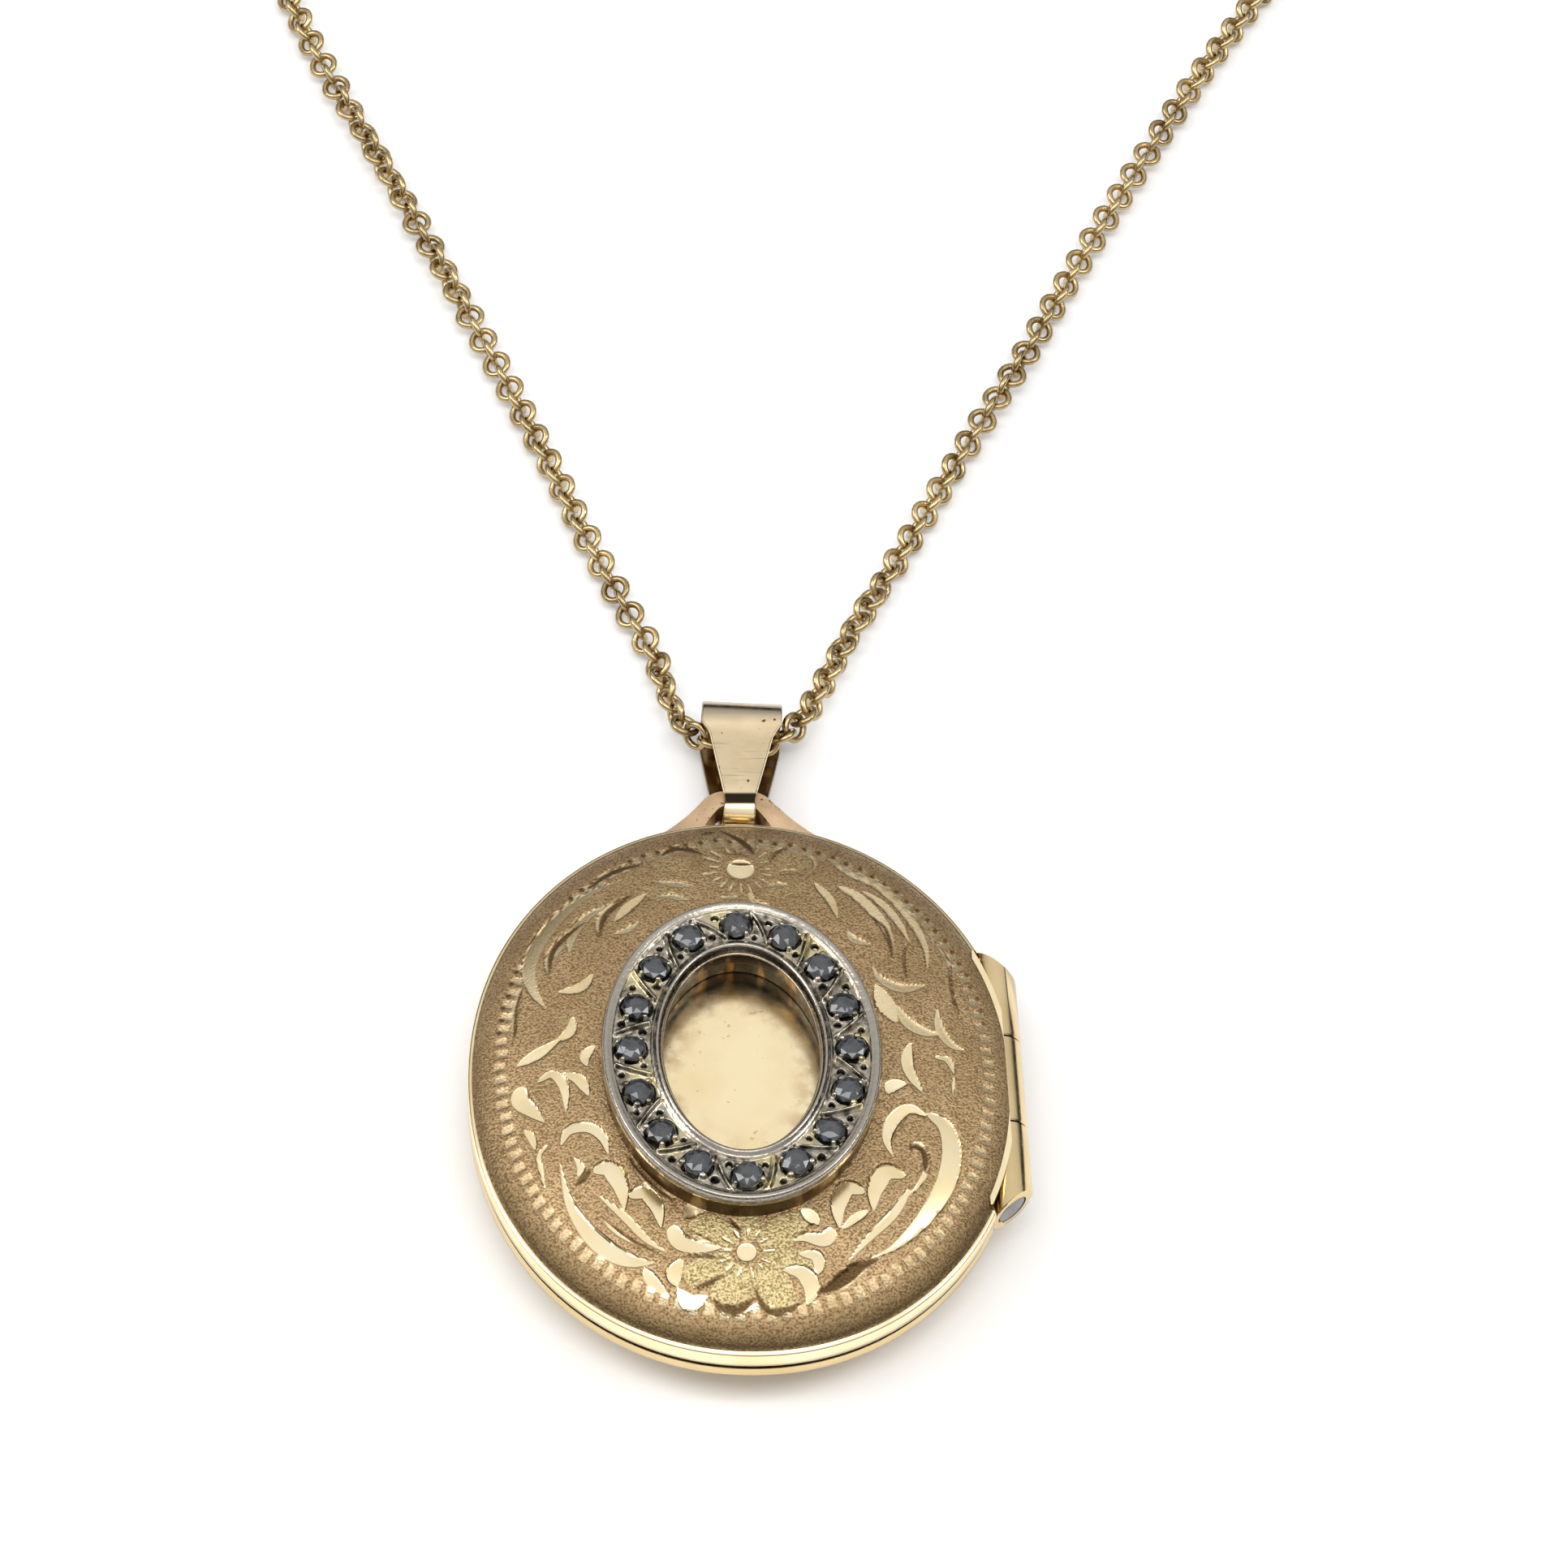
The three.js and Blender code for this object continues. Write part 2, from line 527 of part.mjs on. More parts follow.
// Part of a circle about the clasp's centre, from one angle to another, in degrees.
class ClaspArc extends THREE.Curve {
  constructor(from, to) {
    super();
    this.from = from;
    this.to = to;
  }

  getPoint(t, target = new THREE.Vector3()) {
    const angle = ((this.from + (this.to - this.from) * t) * Math.PI) / 180;
    const [x, y, z] = CLASP_CENTRE;
    return target.set(x + CLASP_RING_RADIUS * Math.cos(angle), y + CLASP_RING_RADIUS * Math.sin(angle), z);
  }
}

const pipe = section(CLASP_TUBE_RADIUS, 10);
pipe.holes.push(new THREE.Path(section(CLASP_BORE, 10).getPoints()));
const claspPipe = new THREE.ExtrudeGeometry(pipe, {
  extrudePath: new ClaspArc(CLASP_MOUTH_TO, CLASP_MOUTH_FROM + 360), steps: 22, bevelEnabled: false,
});
// The slot that the thumb lug slides in, on the ring's upper side.
const LUG_ANGLE = 140;
const slotShape = new THREE.Shape();
const slotArc = (radius, clockwise) => slotShape.absarc(CLASP_CENTRE[0], CLASP_CENTRE[1], radius,
  ((clockwise ? LUG_ANGLE + 9 : LUG_ANGLE - CLASP_TRAVEL - 9) * Math.PI) / 180,
  ((clockwise ? LUG_ANGLE - CLASP_TRAVEL - 9 : LUG_ANGLE + 9) * Math.PI) / 180, clockwise);
slotArc(CLASP_RING_RADIUS + 0.2, false);
slotArc(CLASP_RING_RADIUS - 0.2, true);
const slot = new THREE.ExtrudeGeometry(slotShape, { depth: 1, bevelEnabled: false, curveSegments: 8 });
slot.translate(0, 0, CLASP_CENTRE[2] + 0.1);
add('clasp_body', cut(claspPipe, slot), metal(METAL.bright));

const boltRod = new THREE.ExtrudeGeometry(section(CLASP_BOLT_RADIUS, 8), {
  extrudePath: new ClaspArc(LUG_ANGLE - 14, CLASP_MOUTH_TO + 7), steps: 10, bevelEnabled: false,
});
const lug = new THREE.CylinderGeometry(0.14, 0.14, 1.1, 8);
lug.rotateX(Math.PI / 2);
const lugTop = new THREE.SphereGeometry(0.3, 10, 6);
lugTop.translate(0, 0, 0.5);
const lugPlace = new ClaspArc(LUG_ANGLE, LUG_ANGLE).getPoint(0);
const bolt = [lug, lugTop].reduce((solid, piece) => {
  piece.translate(lugPlace.x, lugPlace.y, CLASP_CENTRE[2] + 0.55);
  return solid.add(toSolid(piece));
}, toSolid(boltRod));
add('clasp_bolt', toGeometry(bolt), metal(METAL.bright));

// The spring behind the bolt, coiled round the ring's own curve.
class SpringCurve extends THREE.Curve {
  getPoint(t, target = new THREE.Vector3()) {
    const [from, to, turns, radius] = [60, LUG_ANGLE - 16, 9, 0.25];
    const angle = ((from + (to - from) * t) * Math.PI) / 180;
    const turn = t * turns * 2 * Math.PI;
    const r = CLASP_RING_RADIUS + radius * Math.cos(turn);
    return target.set(CLASP_CENTRE[0] + r * Math.cos(angle), CLASP_CENTRE[1] + r * Math.sin(angle),
      CLASP_CENTRE[2] + radius * Math.sin(turn));
  }
}
add('clasp_spring', tube(new SpringCurve(), 0.06, 4, 72), metal(METAL.steel));

function wireRing(radius, wire, upright) {
  const geometry = new THREE.TorusGeometry(radius, wire, 8, 20);
  if (upright) geometry.rotateX(Math.PI / 2);
  return geometry;
}
const EYELET_X = CLASP_CENTRE[0] + CLASP_RING_RADIUS + CLASP_TUBE_RADIUS + GAP + 1.0;
const eyelet = wireRing(0.78, 0.22, false);
eyelet.translate(EYELET_X, CLASP_CENTRE[1], CLASP_CENTRE[2]);
add('clasp_eyelet', eyelet, metal(METAL.bright));
const jumpRing = wireRing(1.05, LINK_RING_WIRE, true);
jumpRing.translate(EYELET_X + 0.95, CLASP_CENTRE[1], 1.27);
add('clasp_jump_ring', jumpRing, metal(METAL.bright));
const endRing = wireRing(1.3, LINK_RING_WIRE, true);
endRing.translate(CLASP_CENTRE[0] - CLASP_RING_RADIUS - 0.3, CLASP_CENTRE[1], 1.53);
add('chain_end_ring', endRing, metal(METAL.bright));

export default locket;
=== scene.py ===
"""Engraved photo locket on its round-link chain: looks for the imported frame, in metres."""

import math

import bpy
import numpy as np
from mathutils import Matrix, Vector


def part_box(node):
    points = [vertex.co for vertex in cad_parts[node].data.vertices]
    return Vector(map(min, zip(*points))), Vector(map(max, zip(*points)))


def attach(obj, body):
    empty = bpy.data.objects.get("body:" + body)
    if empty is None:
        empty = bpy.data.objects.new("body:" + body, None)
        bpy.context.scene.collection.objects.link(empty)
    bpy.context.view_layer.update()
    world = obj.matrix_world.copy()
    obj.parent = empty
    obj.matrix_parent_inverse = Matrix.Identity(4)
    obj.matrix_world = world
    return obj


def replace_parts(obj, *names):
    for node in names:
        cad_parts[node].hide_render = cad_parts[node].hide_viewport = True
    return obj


MM = 0.001


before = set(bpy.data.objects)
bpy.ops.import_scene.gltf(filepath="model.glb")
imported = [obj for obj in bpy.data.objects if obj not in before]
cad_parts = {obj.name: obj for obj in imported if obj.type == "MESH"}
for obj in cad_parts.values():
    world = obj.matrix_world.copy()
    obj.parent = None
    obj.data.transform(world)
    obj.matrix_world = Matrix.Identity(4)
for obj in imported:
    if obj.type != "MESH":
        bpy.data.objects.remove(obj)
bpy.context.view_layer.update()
random = np.random.default_rng(16)

# ---- Driving sizes, in millimetres, as in the CAD part ----------------------------------------
HALF_WIDTH = 12.6
HALF_HEIGHT = 14.6
SQUARENESS = 2.07
STRETCH = HALF_HEIGHT / HALF_WIDTH
DOME_RADIUS = 12.35
DOME_FOOT = 3.95
DOME_RISE = 1.75
DOME_FLATNESS = 2.6  # the higher, the wider the flat middle
DOME_FULLNESS = 0.62  # the lower, the steeper the edge
DOME_INNER_RADIUS = 11.98
DOME_INNER_RISE = 1.3
SETTING = np.array([5.0, 6.83])
SETTING_CENTRE = np.array([-0.25, -0.15])
STONE_COUNT = 16
STONE_RADIUS = 0.7
RING_FACE = 6.82
COLLAR_TOP = 6.4
PLATE_TOP = 4.65
HINGE_X = 11.9
HINGE_Z = 3.15
HINGE_HALF_LENGTH = 6.6
BARREL_RADIUS = 0.98
BARREL_BORE = 0.66
KNUCKLE_SEAM = 2.35
MITRE = 0.85

# ---- Camera ------------------------------------------------------------------------------------
CAMERA_ELEVATION = 53.0
CAMERA_AZIMUTH = -6.4
CAMERA_ROLL = 4.92
CAMERA_DISTANCE = 280.0
CAMERA_TARGET = (2.87, 19.85, 0.0)
CAMERA_LENS = 133.3


def make_camera():
    """The photo's view of the locket."""
    elevation = math.radians(CAMERA_ELEVATION)
    azimuth = math.radians(CAMERA_AZIMUTH)
    roll = math.radians(CAMERA_ROLL)
    level = math.cos(elevation)
    back = Vector((math.sin(azimuth) * level, -math.cos(azimuth) * level, math.sin(elevation)))
    right = Vector((math.cos(azimuth), math.sin(azimuth), 0))
    up = back.cross(right)
    rolled_right = right * math.cos(roll) + up * math.sin(roll)
    rolled_up = up * math.cos(roll) - right * math.sin(roll)
    data = bpy.data.cameras.new("camera")
    data.lens = CAMERA_LENS
    data.sensor_width = 36
    data.clip_start = 0.01
    camera = bpy.data.objects.new("camera", data)
    place = (Vector(CAMERA_TARGET) + back * CAMERA_DISTANCE) * MM
    rotation = Matrix((rolled_right, rolled_up, back)).transposed().to_4x4()
    camera.matrix_world = Matrix.Translation(place) @ rotation
    bpy.context.scene.collection.objects.link(camera)
    bpy.context.scene.camera = camera


make_camera()


# ---- Mesh helpers ------------------------------------------------------------------------------
def full_turn(count):
    """Angles spaced evenly round a full turn."""
    return np.linspace(0, 2 * math.pi, count, endpoint=False)


def at_height(x, y, z):
    """Points from X and Y values and one or more heights."""
    return np.stack([x, y, np.broadcast_to(z, x.shape)], 1)


def travelled(*coordinates):
    """Distance along a line of points, at each of them, from each coordinate's values."""
    steps = np.sqrt(sum(np.diff(values) ** 2 for values in coordinates))
    return np.concatenate([[0], np.cumsum(steps)])


def grid_faces(rows, columns):
    """Quads of a grid of points that closes on itself in both directions."""
    i = np.arange(rows)[:, None]
    j = np.arange(columns)[None, :]
    i_next = (i + 1) % rows
    j_next = (j + 1) % columns
    corners = [i * columns + j, i * columns + j_next, i_next * columns + j_next, i_next * columns + j]
    return np.stack([c.reshape(-1) for c in np.broadcast_arrays(*corners)], axis=1)


def make_piece(name, points, faces, material, body, smooth=True):
    """A mesh object from points in millimetres. It rides on a body and takes a material slot.

    The slot holds the material of that name.
    """
    mesh = bpy.data.meshes.new(name)
    mesh.from_pydata((np.asarray(points, float) * MM).tolist(), [], [list(f) for f in faces])
    mesh.validate()
    turn_outwards(mesh)
    if smooth:
        mesh.shade_smooth()
    else:
        mesh.shade_flat()
    piece = bpy.data.objects.new(name, mesh)
    bpy.context.scene.collection.objects.link(piece)
    mesh.materials.append(MATERIALS[material])
    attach(piece, body)
    return piece


def turn_outwards(mesh):
    """Flips every face of a closed body whose faces point in."""
    mesh.calc_loop_triangles()
    count = len(mesh.loop_triangles)
    corners = np.zeros(count * 3, np.int32)
    mesh.loop_triangles.foreach_get("vertices", corners)
    points = np.zeros(len(mesh.vertices) * 3)
    mesh.vertices.foreach_get("co", points)
    a, b, c = (points.reshape(-1, 3)[corners.reshape(-1, 3)[:, k]] for k in range(3))
    if np.einsum("ij,ij->i", a, np.cross(b, c)).sum() < 0:
        mesh.flip_normals()


def sharpen(piece, degrees=35):
    """Smooth shading, with crisp edges where faces meet at more than an angle."""
    mesh = piece.data
    mesh.shade_smooth()
    mesh.set_sharp_from_angle(angle=math.radians(degrees))
    return piece


def point_values(piece, name, values):
    """Values that a material reads at the mesh's points."""
    attribute = piece.data.attributes.new(name, "FLOAT", "POINT")
    attribute.data.foreach_set("value", np.asarray(values, np.float32).reshape(-1))


def loft(profiles):
    """Points and faces of a closed ring from one closed outline at each angle."""
    rows, columns = profiles.shape[:2]
    return profiles.reshape(-1, 3), grid_faces(rows, columns)


def rounded_profile(points, radius, steps=3):
    """A closed (r, z) outline with each corner rounded off."""
    points = [np.array(p, float) for p in points]
    result = []
    for i, corner in enumerate(points):
        before = points[i - 1] - corner
        after = points[(i + 1) % len(points)] - corner
        reach = min(radius, 0.45 * np.linalg.norm(before), 0.45 * np.linalg.norm(after))
        start = corner + before / np.linalg.norm(before) * reach
        end = corner + after / np.linalg.norm(after) * reach
        for t in np.linspace(0, 1, steps + 1):
            result.append((1 - t) ** 2 * start + 2 * t * (1 - t) * corner + t ** 2 * end)
    return np.array(result)


def cover_points(angle, radius):
    """Points of the covers' outline at a radius measured along X."""
    c, s = np.cos(angle), np.sin(angle)
    share = (np.abs(c) ** SQUARENESS + np.abs(s) ** SQUARENESS) ** (-1 / SQUARENESS)
    return radius * share * c, radius * share * s * STRETCH


def cover_radius(x, y):
    """The radius, measured along X, of the covers' outline through a point."""
    return (np.abs(x) ** SQUARENESS + np.abs(y / STRETCH) ** SQUARENESS) ** (1 / SQUARENESS)


def dome_height(radius, edge=DOME_RADIUS, rise=DOME_RISE, foot=DOME_FOOT):
    """Height of the front's dome: flat in the middle and steep at its edge."""
    return foot + rise * (1 - np.clip(radius / edge, 0, 1) ** DOME_FLATNESS) ** DOME_FULLNESS


def setting_points(count, offset=0.0):
    """Points spaced evenly along the oval through the stones, and the oval's outward normals."""
    fine = np.linspace(0, 2 * math.pi, 4001)
    length = travelled(SETTING[0] * np.sin(fine), SETTING[1] * np.cos(fine))
    t = np.interp(np.arange(count) / count * length[-1], length, fine)
    x, y = SETTING[0] * np.sin(t), SETTING[1] * np.cos(t)
    normal = np.stack([x / SETTING[0] ** 2, y / SETTING[1] ** 2], 1)
    normal /= np.linalg.norm(normal, axis=1)[:, None]
    points = np.stack([x, y], 1) + SETTING_CENTRE + normal * offset
    return points, normal, length[-1]


def blend(t, t_first, first, t_second, second):
    """The point at t on the straight between two points."""
    return (t_second - t) / (t_second - t_first) * first + (t - t_first) / (t_second - t_first) * second


def smooth_line(points, per_step=12):
    """A centripetal Catmull-Rom line through points."""
    p = np.asarray(points, float)
    p = np.vstack([2 * p[0] - p[1], p, 2 * p[-1] - p[-2]])
    line = []
    for k in range(1, len(p) - 2):
        p0, p1, p2, p3 = p[k - 1:k + 3]
        t0 = 0.0
        t1 = t0 + np.linalg.norm(p1 - p0) ** 0.5
        t2 = t1 + np.linalg.norm(p2 - p1) ** 0.5
        t3 = t2 + np.linalg.norm(p3 - p2) ** 0.5
        for t in np.linspace(t1, t2, per_step, endpoint=False):
            a1 = blend(t, t0, p0, t1, p1)
            a2 = blend(t, t1, p1, t2, p2)
            a3 = blend(t, t2, p2, t3, p3)
            b1 = blend(t, t0, a1, t2, a2)
            b2 = blend(t, t1, a2, t3, a3)
            line.append(blend(t, t1, b1, t2, b2))
    line.append(p[-2])
    return np.array(line)


def torus(centre, axis, mean_radius, wire, around=48, across=16, start=(1, 0, 0)):
    """Points and faces of a ring of round wire, with the wire's radius."""
    axis = np.array(axis, float) / np.linalg.norm(axis)
    first = np.array(start, float)
    first = first - axis * first.dot(axis)
    first /= np.linalg.norm(first)
    second = np.cross(axis, first)
    u = full_turn(around)[:, None, None]
    v = full_turn(across)[None, :, None]
    radial = np.cos(u) * first + np.sin(u) * second
    points = np.array(centre) + radial * (mean_radius + wire * np.cos(v)) + axis * (wire * np.sin(v))
    return loft(points)


# ---- Material helper ---------------------------------------------------------------------------
class Look:
    """A material being made: it adds shader nodes and links them to the surface's shader."""

    def __init__(self, name, metallic=1.0):
        self.material = bpy.data.materials.new(name)
        self.material.use_nodes = True
        self.nodes = self.material.node_tree.nodes
        self.links = self.material.node_tree.links
        self.shader = self.nodes["Principled BSDF"]
        self.place = self.nodes.new("ShaderNodeTexCoord").outputs["Object"]
        self.normal = None
        self.surface("Metallic", metallic)

    def plug(self, value, socket):
        """Sets a socket to a number or a colour, or links another node's output to it."""
        if isinstance(value, tuple):
            socket.default_value = (*value, 1)
        elif isinstance(value, (int, float)):
            socket.default_value = value
        else:
            self.links.new(value, socket)

    def surface(self, name, value):
        """Sets one input of the surface's shader."""
        self.plug(value, self.shader.inputs[name])

    def coordinate(self, axis):
        """The X, Y or Z of a point on the surface, in the object's own metres."""
        split = self.nodes.new("ShaderNodeSeparateXYZ")
        self.links.new(self.place, split.inputs["Vector"])
        return split.outputs[axis]

    def attribute(self, name):
        """A value that the mesh carries at its points."""
        node = self.nodes.new("ShaderNodeAttribute")
        node.attribute_name = name
        return node.outputs["Fac"]

    def noise(self, scale, detail, stretch=(1, 1, 1)):
        mapping = self.nodes.new("ShaderNodeMapping")
        mapping.inputs["Scale"].default_value = stretch
        texture = self.nodes.new("ShaderNodeTexNoise")
        self.plug(scale, texture.inputs["Scale"])
        self.plug(detail, texture.inputs["Detail"])
        self.links.new(self.place, mapping.inputs["Vector"])
        self.links.new(mapping.outputs["Vector"], texture.inputs["Vector"])
        return texture.outputs["Fac"]

    def spread(self, value, low, high, out_low=0.0, out_high=1.0):
        """Stretches values between low and high to another range."""
        node = self.nodes.new("ShaderNodeMapRange")
        node.inputs["From Min"].default_value = low
        node.inputs["From Max"].default_value = high
        node.inputs["To Min"].default_value = out_low
        node.inputs["To Max"].default_value = out_high
        self.links.new(value, node.inputs["Value"])
        return node.outputs["Result"]

    def patches(self, scale, detail, low, high, out_low=0.0, out_high=1.0, stretch=(1, 1, 1)):
        """Noise with its contrast raised: the narrower low to high, the crisper the patches."""
        return self.spread(self.noise(scale, detail, stretch), low, high, out_low, out_high)

    def calculate(self, operation, first, second):
        node = self.nodes.new("ShaderNodeMath")
        node.operation = operation
        self.plug(first, node.inputs[0])
        self.plug(second, node.inputs[1])
        return node.outputs["Value"]

    def band(self, value, low, high, soft):
        """1 where a value lies between two limits, with soft ends."""
        rise = self.spread(value, low - soft, low + soft)
        fall = self.spread(value, high - soft, high + soft, 1, 0)
        return self.calculate("MULTIPLY", rise, fall)

    def mix(self, factor, first, second, kind="RGBA"):
        """Between two colours, or two numbers where the kind is FLOAT."""
        node = self.nodes.new("ShaderNodeMix")
        node.data_type = kind
        self.links.new(factor, node.inputs["Factor"])
        self.plug(first, node.inputs["A"])
        self.plug(second, node.inputs["B"])
        return node.outputs["Result"]

    def bump(self, height, strength, depth_mm):
        """Raises the surface's look by a height, on top of the bumps before."""
        node = self.nodes.new("ShaderNodeBump")
        node.inputs["Strength"].default_value = strength
        node.inputs["Distance"].default_value = depth_mm * MM
        self.links.new(height, node.inputs["Height"])
        if self.normal is not None:
            self.links.new(self.normal, node.inputs["Normal"])
        self.normal = node.outputs["Normal"]
        self.surface("Normal", self.normal)


# ---- Materials ---------------------------------------------------------------------------------
def worn_metal(name, color, deep_color, roughness, wear=0.12, scratch=0.25):
    """Polished or satin metal: cloudy colour, uneven gloss, fine scratches and pinprick dents."""
    look = Look(name)
    clouds = look.patches(320, 4, 0.35, 0.7)
    look.surface("Base Color", look.mix(clouds, color, deep_color))
    look.surface("Roughness", look.patches(1200, 5, 0.3, 0.7, roughness, roughness + wear))
    look.bump(look.noise(5200, 2), scratch, 0.012)
    look.bump(look.patches(7000, 1, 0.62, 0.8), 0.25, -0.02)
    return look.material


def bail_gold():
    """Polished strip: a greyer band over the fold, painted shade on its back, a painted dark reflection
    across its toe, cross scratches and pits.
    """
    look = Look("bail_gold")
    along, height = look.coordinate("Y"), look.coordinate("Z")
    clouds = look.patches(700, 3, 0.35, 0.7)
    color = look.mix(clouds, (0.96, 0.79, 0.52), (0.86, 0.68, 0.42))
    fold = look.spread(along, 21.2 * MM, 21.8 * MM)
    color = look.mix(fold, color, (0.50, 0.42, 0.30))
    scratches = look.patches(6500, 3, 0.62, 0.72, 0, 0.6, stretch=(0.05, 1, 0.3))
    leaf = look.band(along, 17.4 * MM, 20.2 * MM, 0.5 * MM)
    color = look.mix(look.calculate("MULTIPLY", scratches, leaf), color, (0.36, 0.27, 0.16))
    pits = look.patches(2800, 1, 0.72, 0.76)
    color = look.mix(pits, color, (0.14, 0.09, 0.05))
    # painted reflection: a nearly black band across the front of the toe's curl
    toe = look.band(along, 15.75 * MM, 16.4 * MM, 0.08 * MM)
    front = look.spread(height, 3.1 * MM, 3.3 * MM)
    color = look.mix(look.calculate("MULTIPLY", toe, front), color, (0.03, 0.022, 0.012))
    # painted shade on the back leaf, behind the front one
    back = look.spread(height, 2.3 * MM, 2.6 * MM, 1, 0)
    shaded_back_color = look.mix(clouds, (0.26, 0.17, 0.08), (0.12, 0.075, 0.035))
    look.surface("Base Color", look.mix(back, color, shaded_back_color))
    look.surface("Roughness", look.patches(2600, 5, 0.3, 0.7, 0.14, 0.26))
    look.bump(scratches, 0.2, -0.015)
    return look.material


def rose_gold():
    """Satin rose gold with scattered dark pinpricks."""
    look = Look("rose_gold")
    color = look.mix(look.patches(800, 4, 0.35, 0.7), (0.78, 0.56, 0.35), (0.56, 0.38, 0.22))
    pits = look.patches(4600, 2, 0.66, 0.72)
    look.surface("Base Color", look.mix(pits, color, (0.16, 0.09, 0.04)))
    look.surface("Roughness", look.patches(3000, 4, 0.3, 0.7, 0.3, 0.45))
    look.bump(pits, 0.4, -0.03)
    look.bump(look.noise(7000, 3), 0.3, 0.02)
    return look.material


def engraved_gold():
    """Stippled matte gold: the mesh says where cuts, petals, painted shade in grooves and cuts, and painted
    shade at the edge are.
    """
    look = Look("engraved_gold")
    crisp_cut = look.spread(look.attribute("bright"), 0.38, 0.62)
    bright = look.calculate("MULTIPLY", crisp_cut, look.attribute("tone"))
    groove = look.spread(look.attribute("groove"), 0.35, 0.68, 0, 0.85)
    clouds = look.patches(450, 3, 0.35, 0.68)
    speckle = look.patches(9000, 3, 0.36, 0.58)
    matte = look.mix(clouds, (0.57, 0.40, 0.215), (0.45, 0.31, 0.16))
    matte = look.mix(speckle, (0.24, 0.15, 0.07), matte)
    petal = look.mix(speckle, (0.27, 0.20, 0.08), (0.66, 0.53, 0.28))
    matte = look.mix(look.attribute("petal"), matte, petal)
    cut = look.mix(clouds, (1.0, 0.86, 0.57), (0.95, 0.76, 0.44))
    color = look.mix(bright, matte, cut)
    # painted shade, dark brown, in the grooves and cuts
    color = look.mix(groove, color, (0.10, 0.055, 0.02))
    # painted shade near the dome's edge, darkest at the locket's foot
    painted_edge_shade = look.calculate("MULTIPLY", look.attribute("edge"), 0.8)
    look.surface("Base Color", look.mix(painted_edge_shade, color, (0.085, 0.055, 0.024)))
    matte_roughness = look.spread(speckle, 0, 1, 0.58, 0.4)
    look.surface("Roughness", look.mix(bright, matte_roughness, 0.2, "FLOAT"))
    uncut = look.calculate("SUBTRACT", 1.0, bright)
    look.bump(look.calculate("MULTIPLY", look.noise(9000, 3), uncut), 0.8, 0.06)
    tool_marks = look.noise(6000, 2, (1, 0.25, 1))
    look.bump(tool_marks, 0.2, 0.012)
    return look.material


def setting_metal():
    """White gold between the stones: bright-cut, with tarnish and nearly black painted shade in its drill
    pits, the ridges' valleys and the gaps round the stones.
    """
    look = Look("white_gold")
    pit = look.attribute("pit")
    metal = look.mix(look.patches(2400, 5, 0.4, 0.62), (0.50, 0.455, 0.375), (0.10, 0.085, 0.06))
    metal = look.mix(look.patches(420, 2, 0.52, 0.7), metal, (0.62, 0.53, 0.32))
    metal = look.mix(look.attribute("polish"), metal, (0.39, 0.355, 0.30))
    # painted shade: nearly black where 'pit' marks gaps, valleys and drill holes
    look.surface("Base Color", look.mix(pit, metal, (0.008, 0.007, 0.006)))
    gloss = look.patches(3000, 3, 0.3, 0.7, 0.12, 0.3)
    look.surface("Roughness", look.calculate("ADD", gloss, look.calculate("MULTIPLY", pit, 0.4)))
    look.bump(look.noise(4200, 3), 0.55, 0.035)
    return look.material


def shaded_wall_gold():
    """Bright gold that is painted nearly black as shade where the mesh's attribute says so, with gold
    streaks.
    """
    look = Look("shaded_wall_gold")
    gold = look.mix(look.patches(900, 4, 0.35, 0.7), (0.62, 0.45, 0.22), (0.40, 0.27, 0.11))
    streaks = look.patches(1700, 5, 0.52, 0.68, stretch=(1, 1, 0.35))
    # painted shade: nearly black, with gold streaks
    wall_shade_color = look.mix(streaks, (0.012, 0.007, 0.003), (0.20, 0.115, 0.04))
    look.surface("Base Color", look.mix(look.attribute("wall_shade"), gold, wall_shade_color))
    look.surface("Roughness", look.patches(2600, 5, 0.3, 0.7, 0.25, 0.45))
    look.bump(streaks, 0.2, 0.02)
    return look.material


def stained_plate():
    """The well's mirror plate, stained brown towards its edge and in a few small spots."""
    look = Look("polished_plate")
    gold = look.mix(look.patches(330, 4, 0.38, 0.68), (1.0, 0.84, 0.54), (0.94, 0.76, 0.44))
    stain = look.calculate("MULTIPLY", look.attribute("edge"), look.patches(900, 6, 0.44, 0.62))
    gold = look.mix(look.patches(2300, 3, 0.68, 0.74, 0, 0.7), gold, (0.62, 0.42, 0.2))
    look.surface("Base Color", look.mix(stain, gold, (0.50, 0.32, 0.14)))
    look.surface("Roughness", look.patches(1800, 4, 0.3, 0.7, 0.16, 0.3))
    look.bump(look.noise(900, 2), 0.15, 0.02)
    return look.material


def dark_stone():
    """Nearly black glassy stone with slate grey clouds."""
    look = Look("dark_stone", metallic=0.0)
    veins = look.patches(2600, 4, 0.4, 0.65)
    look.surface("Base Color", look.mix(veins, (0.034, 0.037, 0.042), (0.006, 0.007, 0.008)))
    look.surface("Roughness", 0.04)
    look.surface("IOR", 1.85)
    look.bump(look.noise(3400, 3), 0.2, 0.02)
    return look.material


def clear_window():
    """Clear disc with faint smears."""
    look = Look("clear_window", metallic=0.0)
    look.surface("Base Color", (0.93, 0.95, 0.94))
    look.surface("Transmission Weight", 0.95)
    look.surface("Roughness", look.patches(500, 3, 0.35, 0.7, 0.03, 0.12))
    return look.material


def tie_paper():
    """Off-white paper with fibres along the band."""
    look = Look("tie_paper", metallic=0.0)
    fibres = look.patches(4200, 6, 0.3, 0.75, stretch=(1, 3, 1))
    look.surface("Base Color", look.mix(fibres, (0.82, 0.79, 0.71), (0.72, 0.68, 0.59)))
    look.surface("Roughness", 0.85)
    look.bump(fibres, 0.4, 0.03)
    return look.material


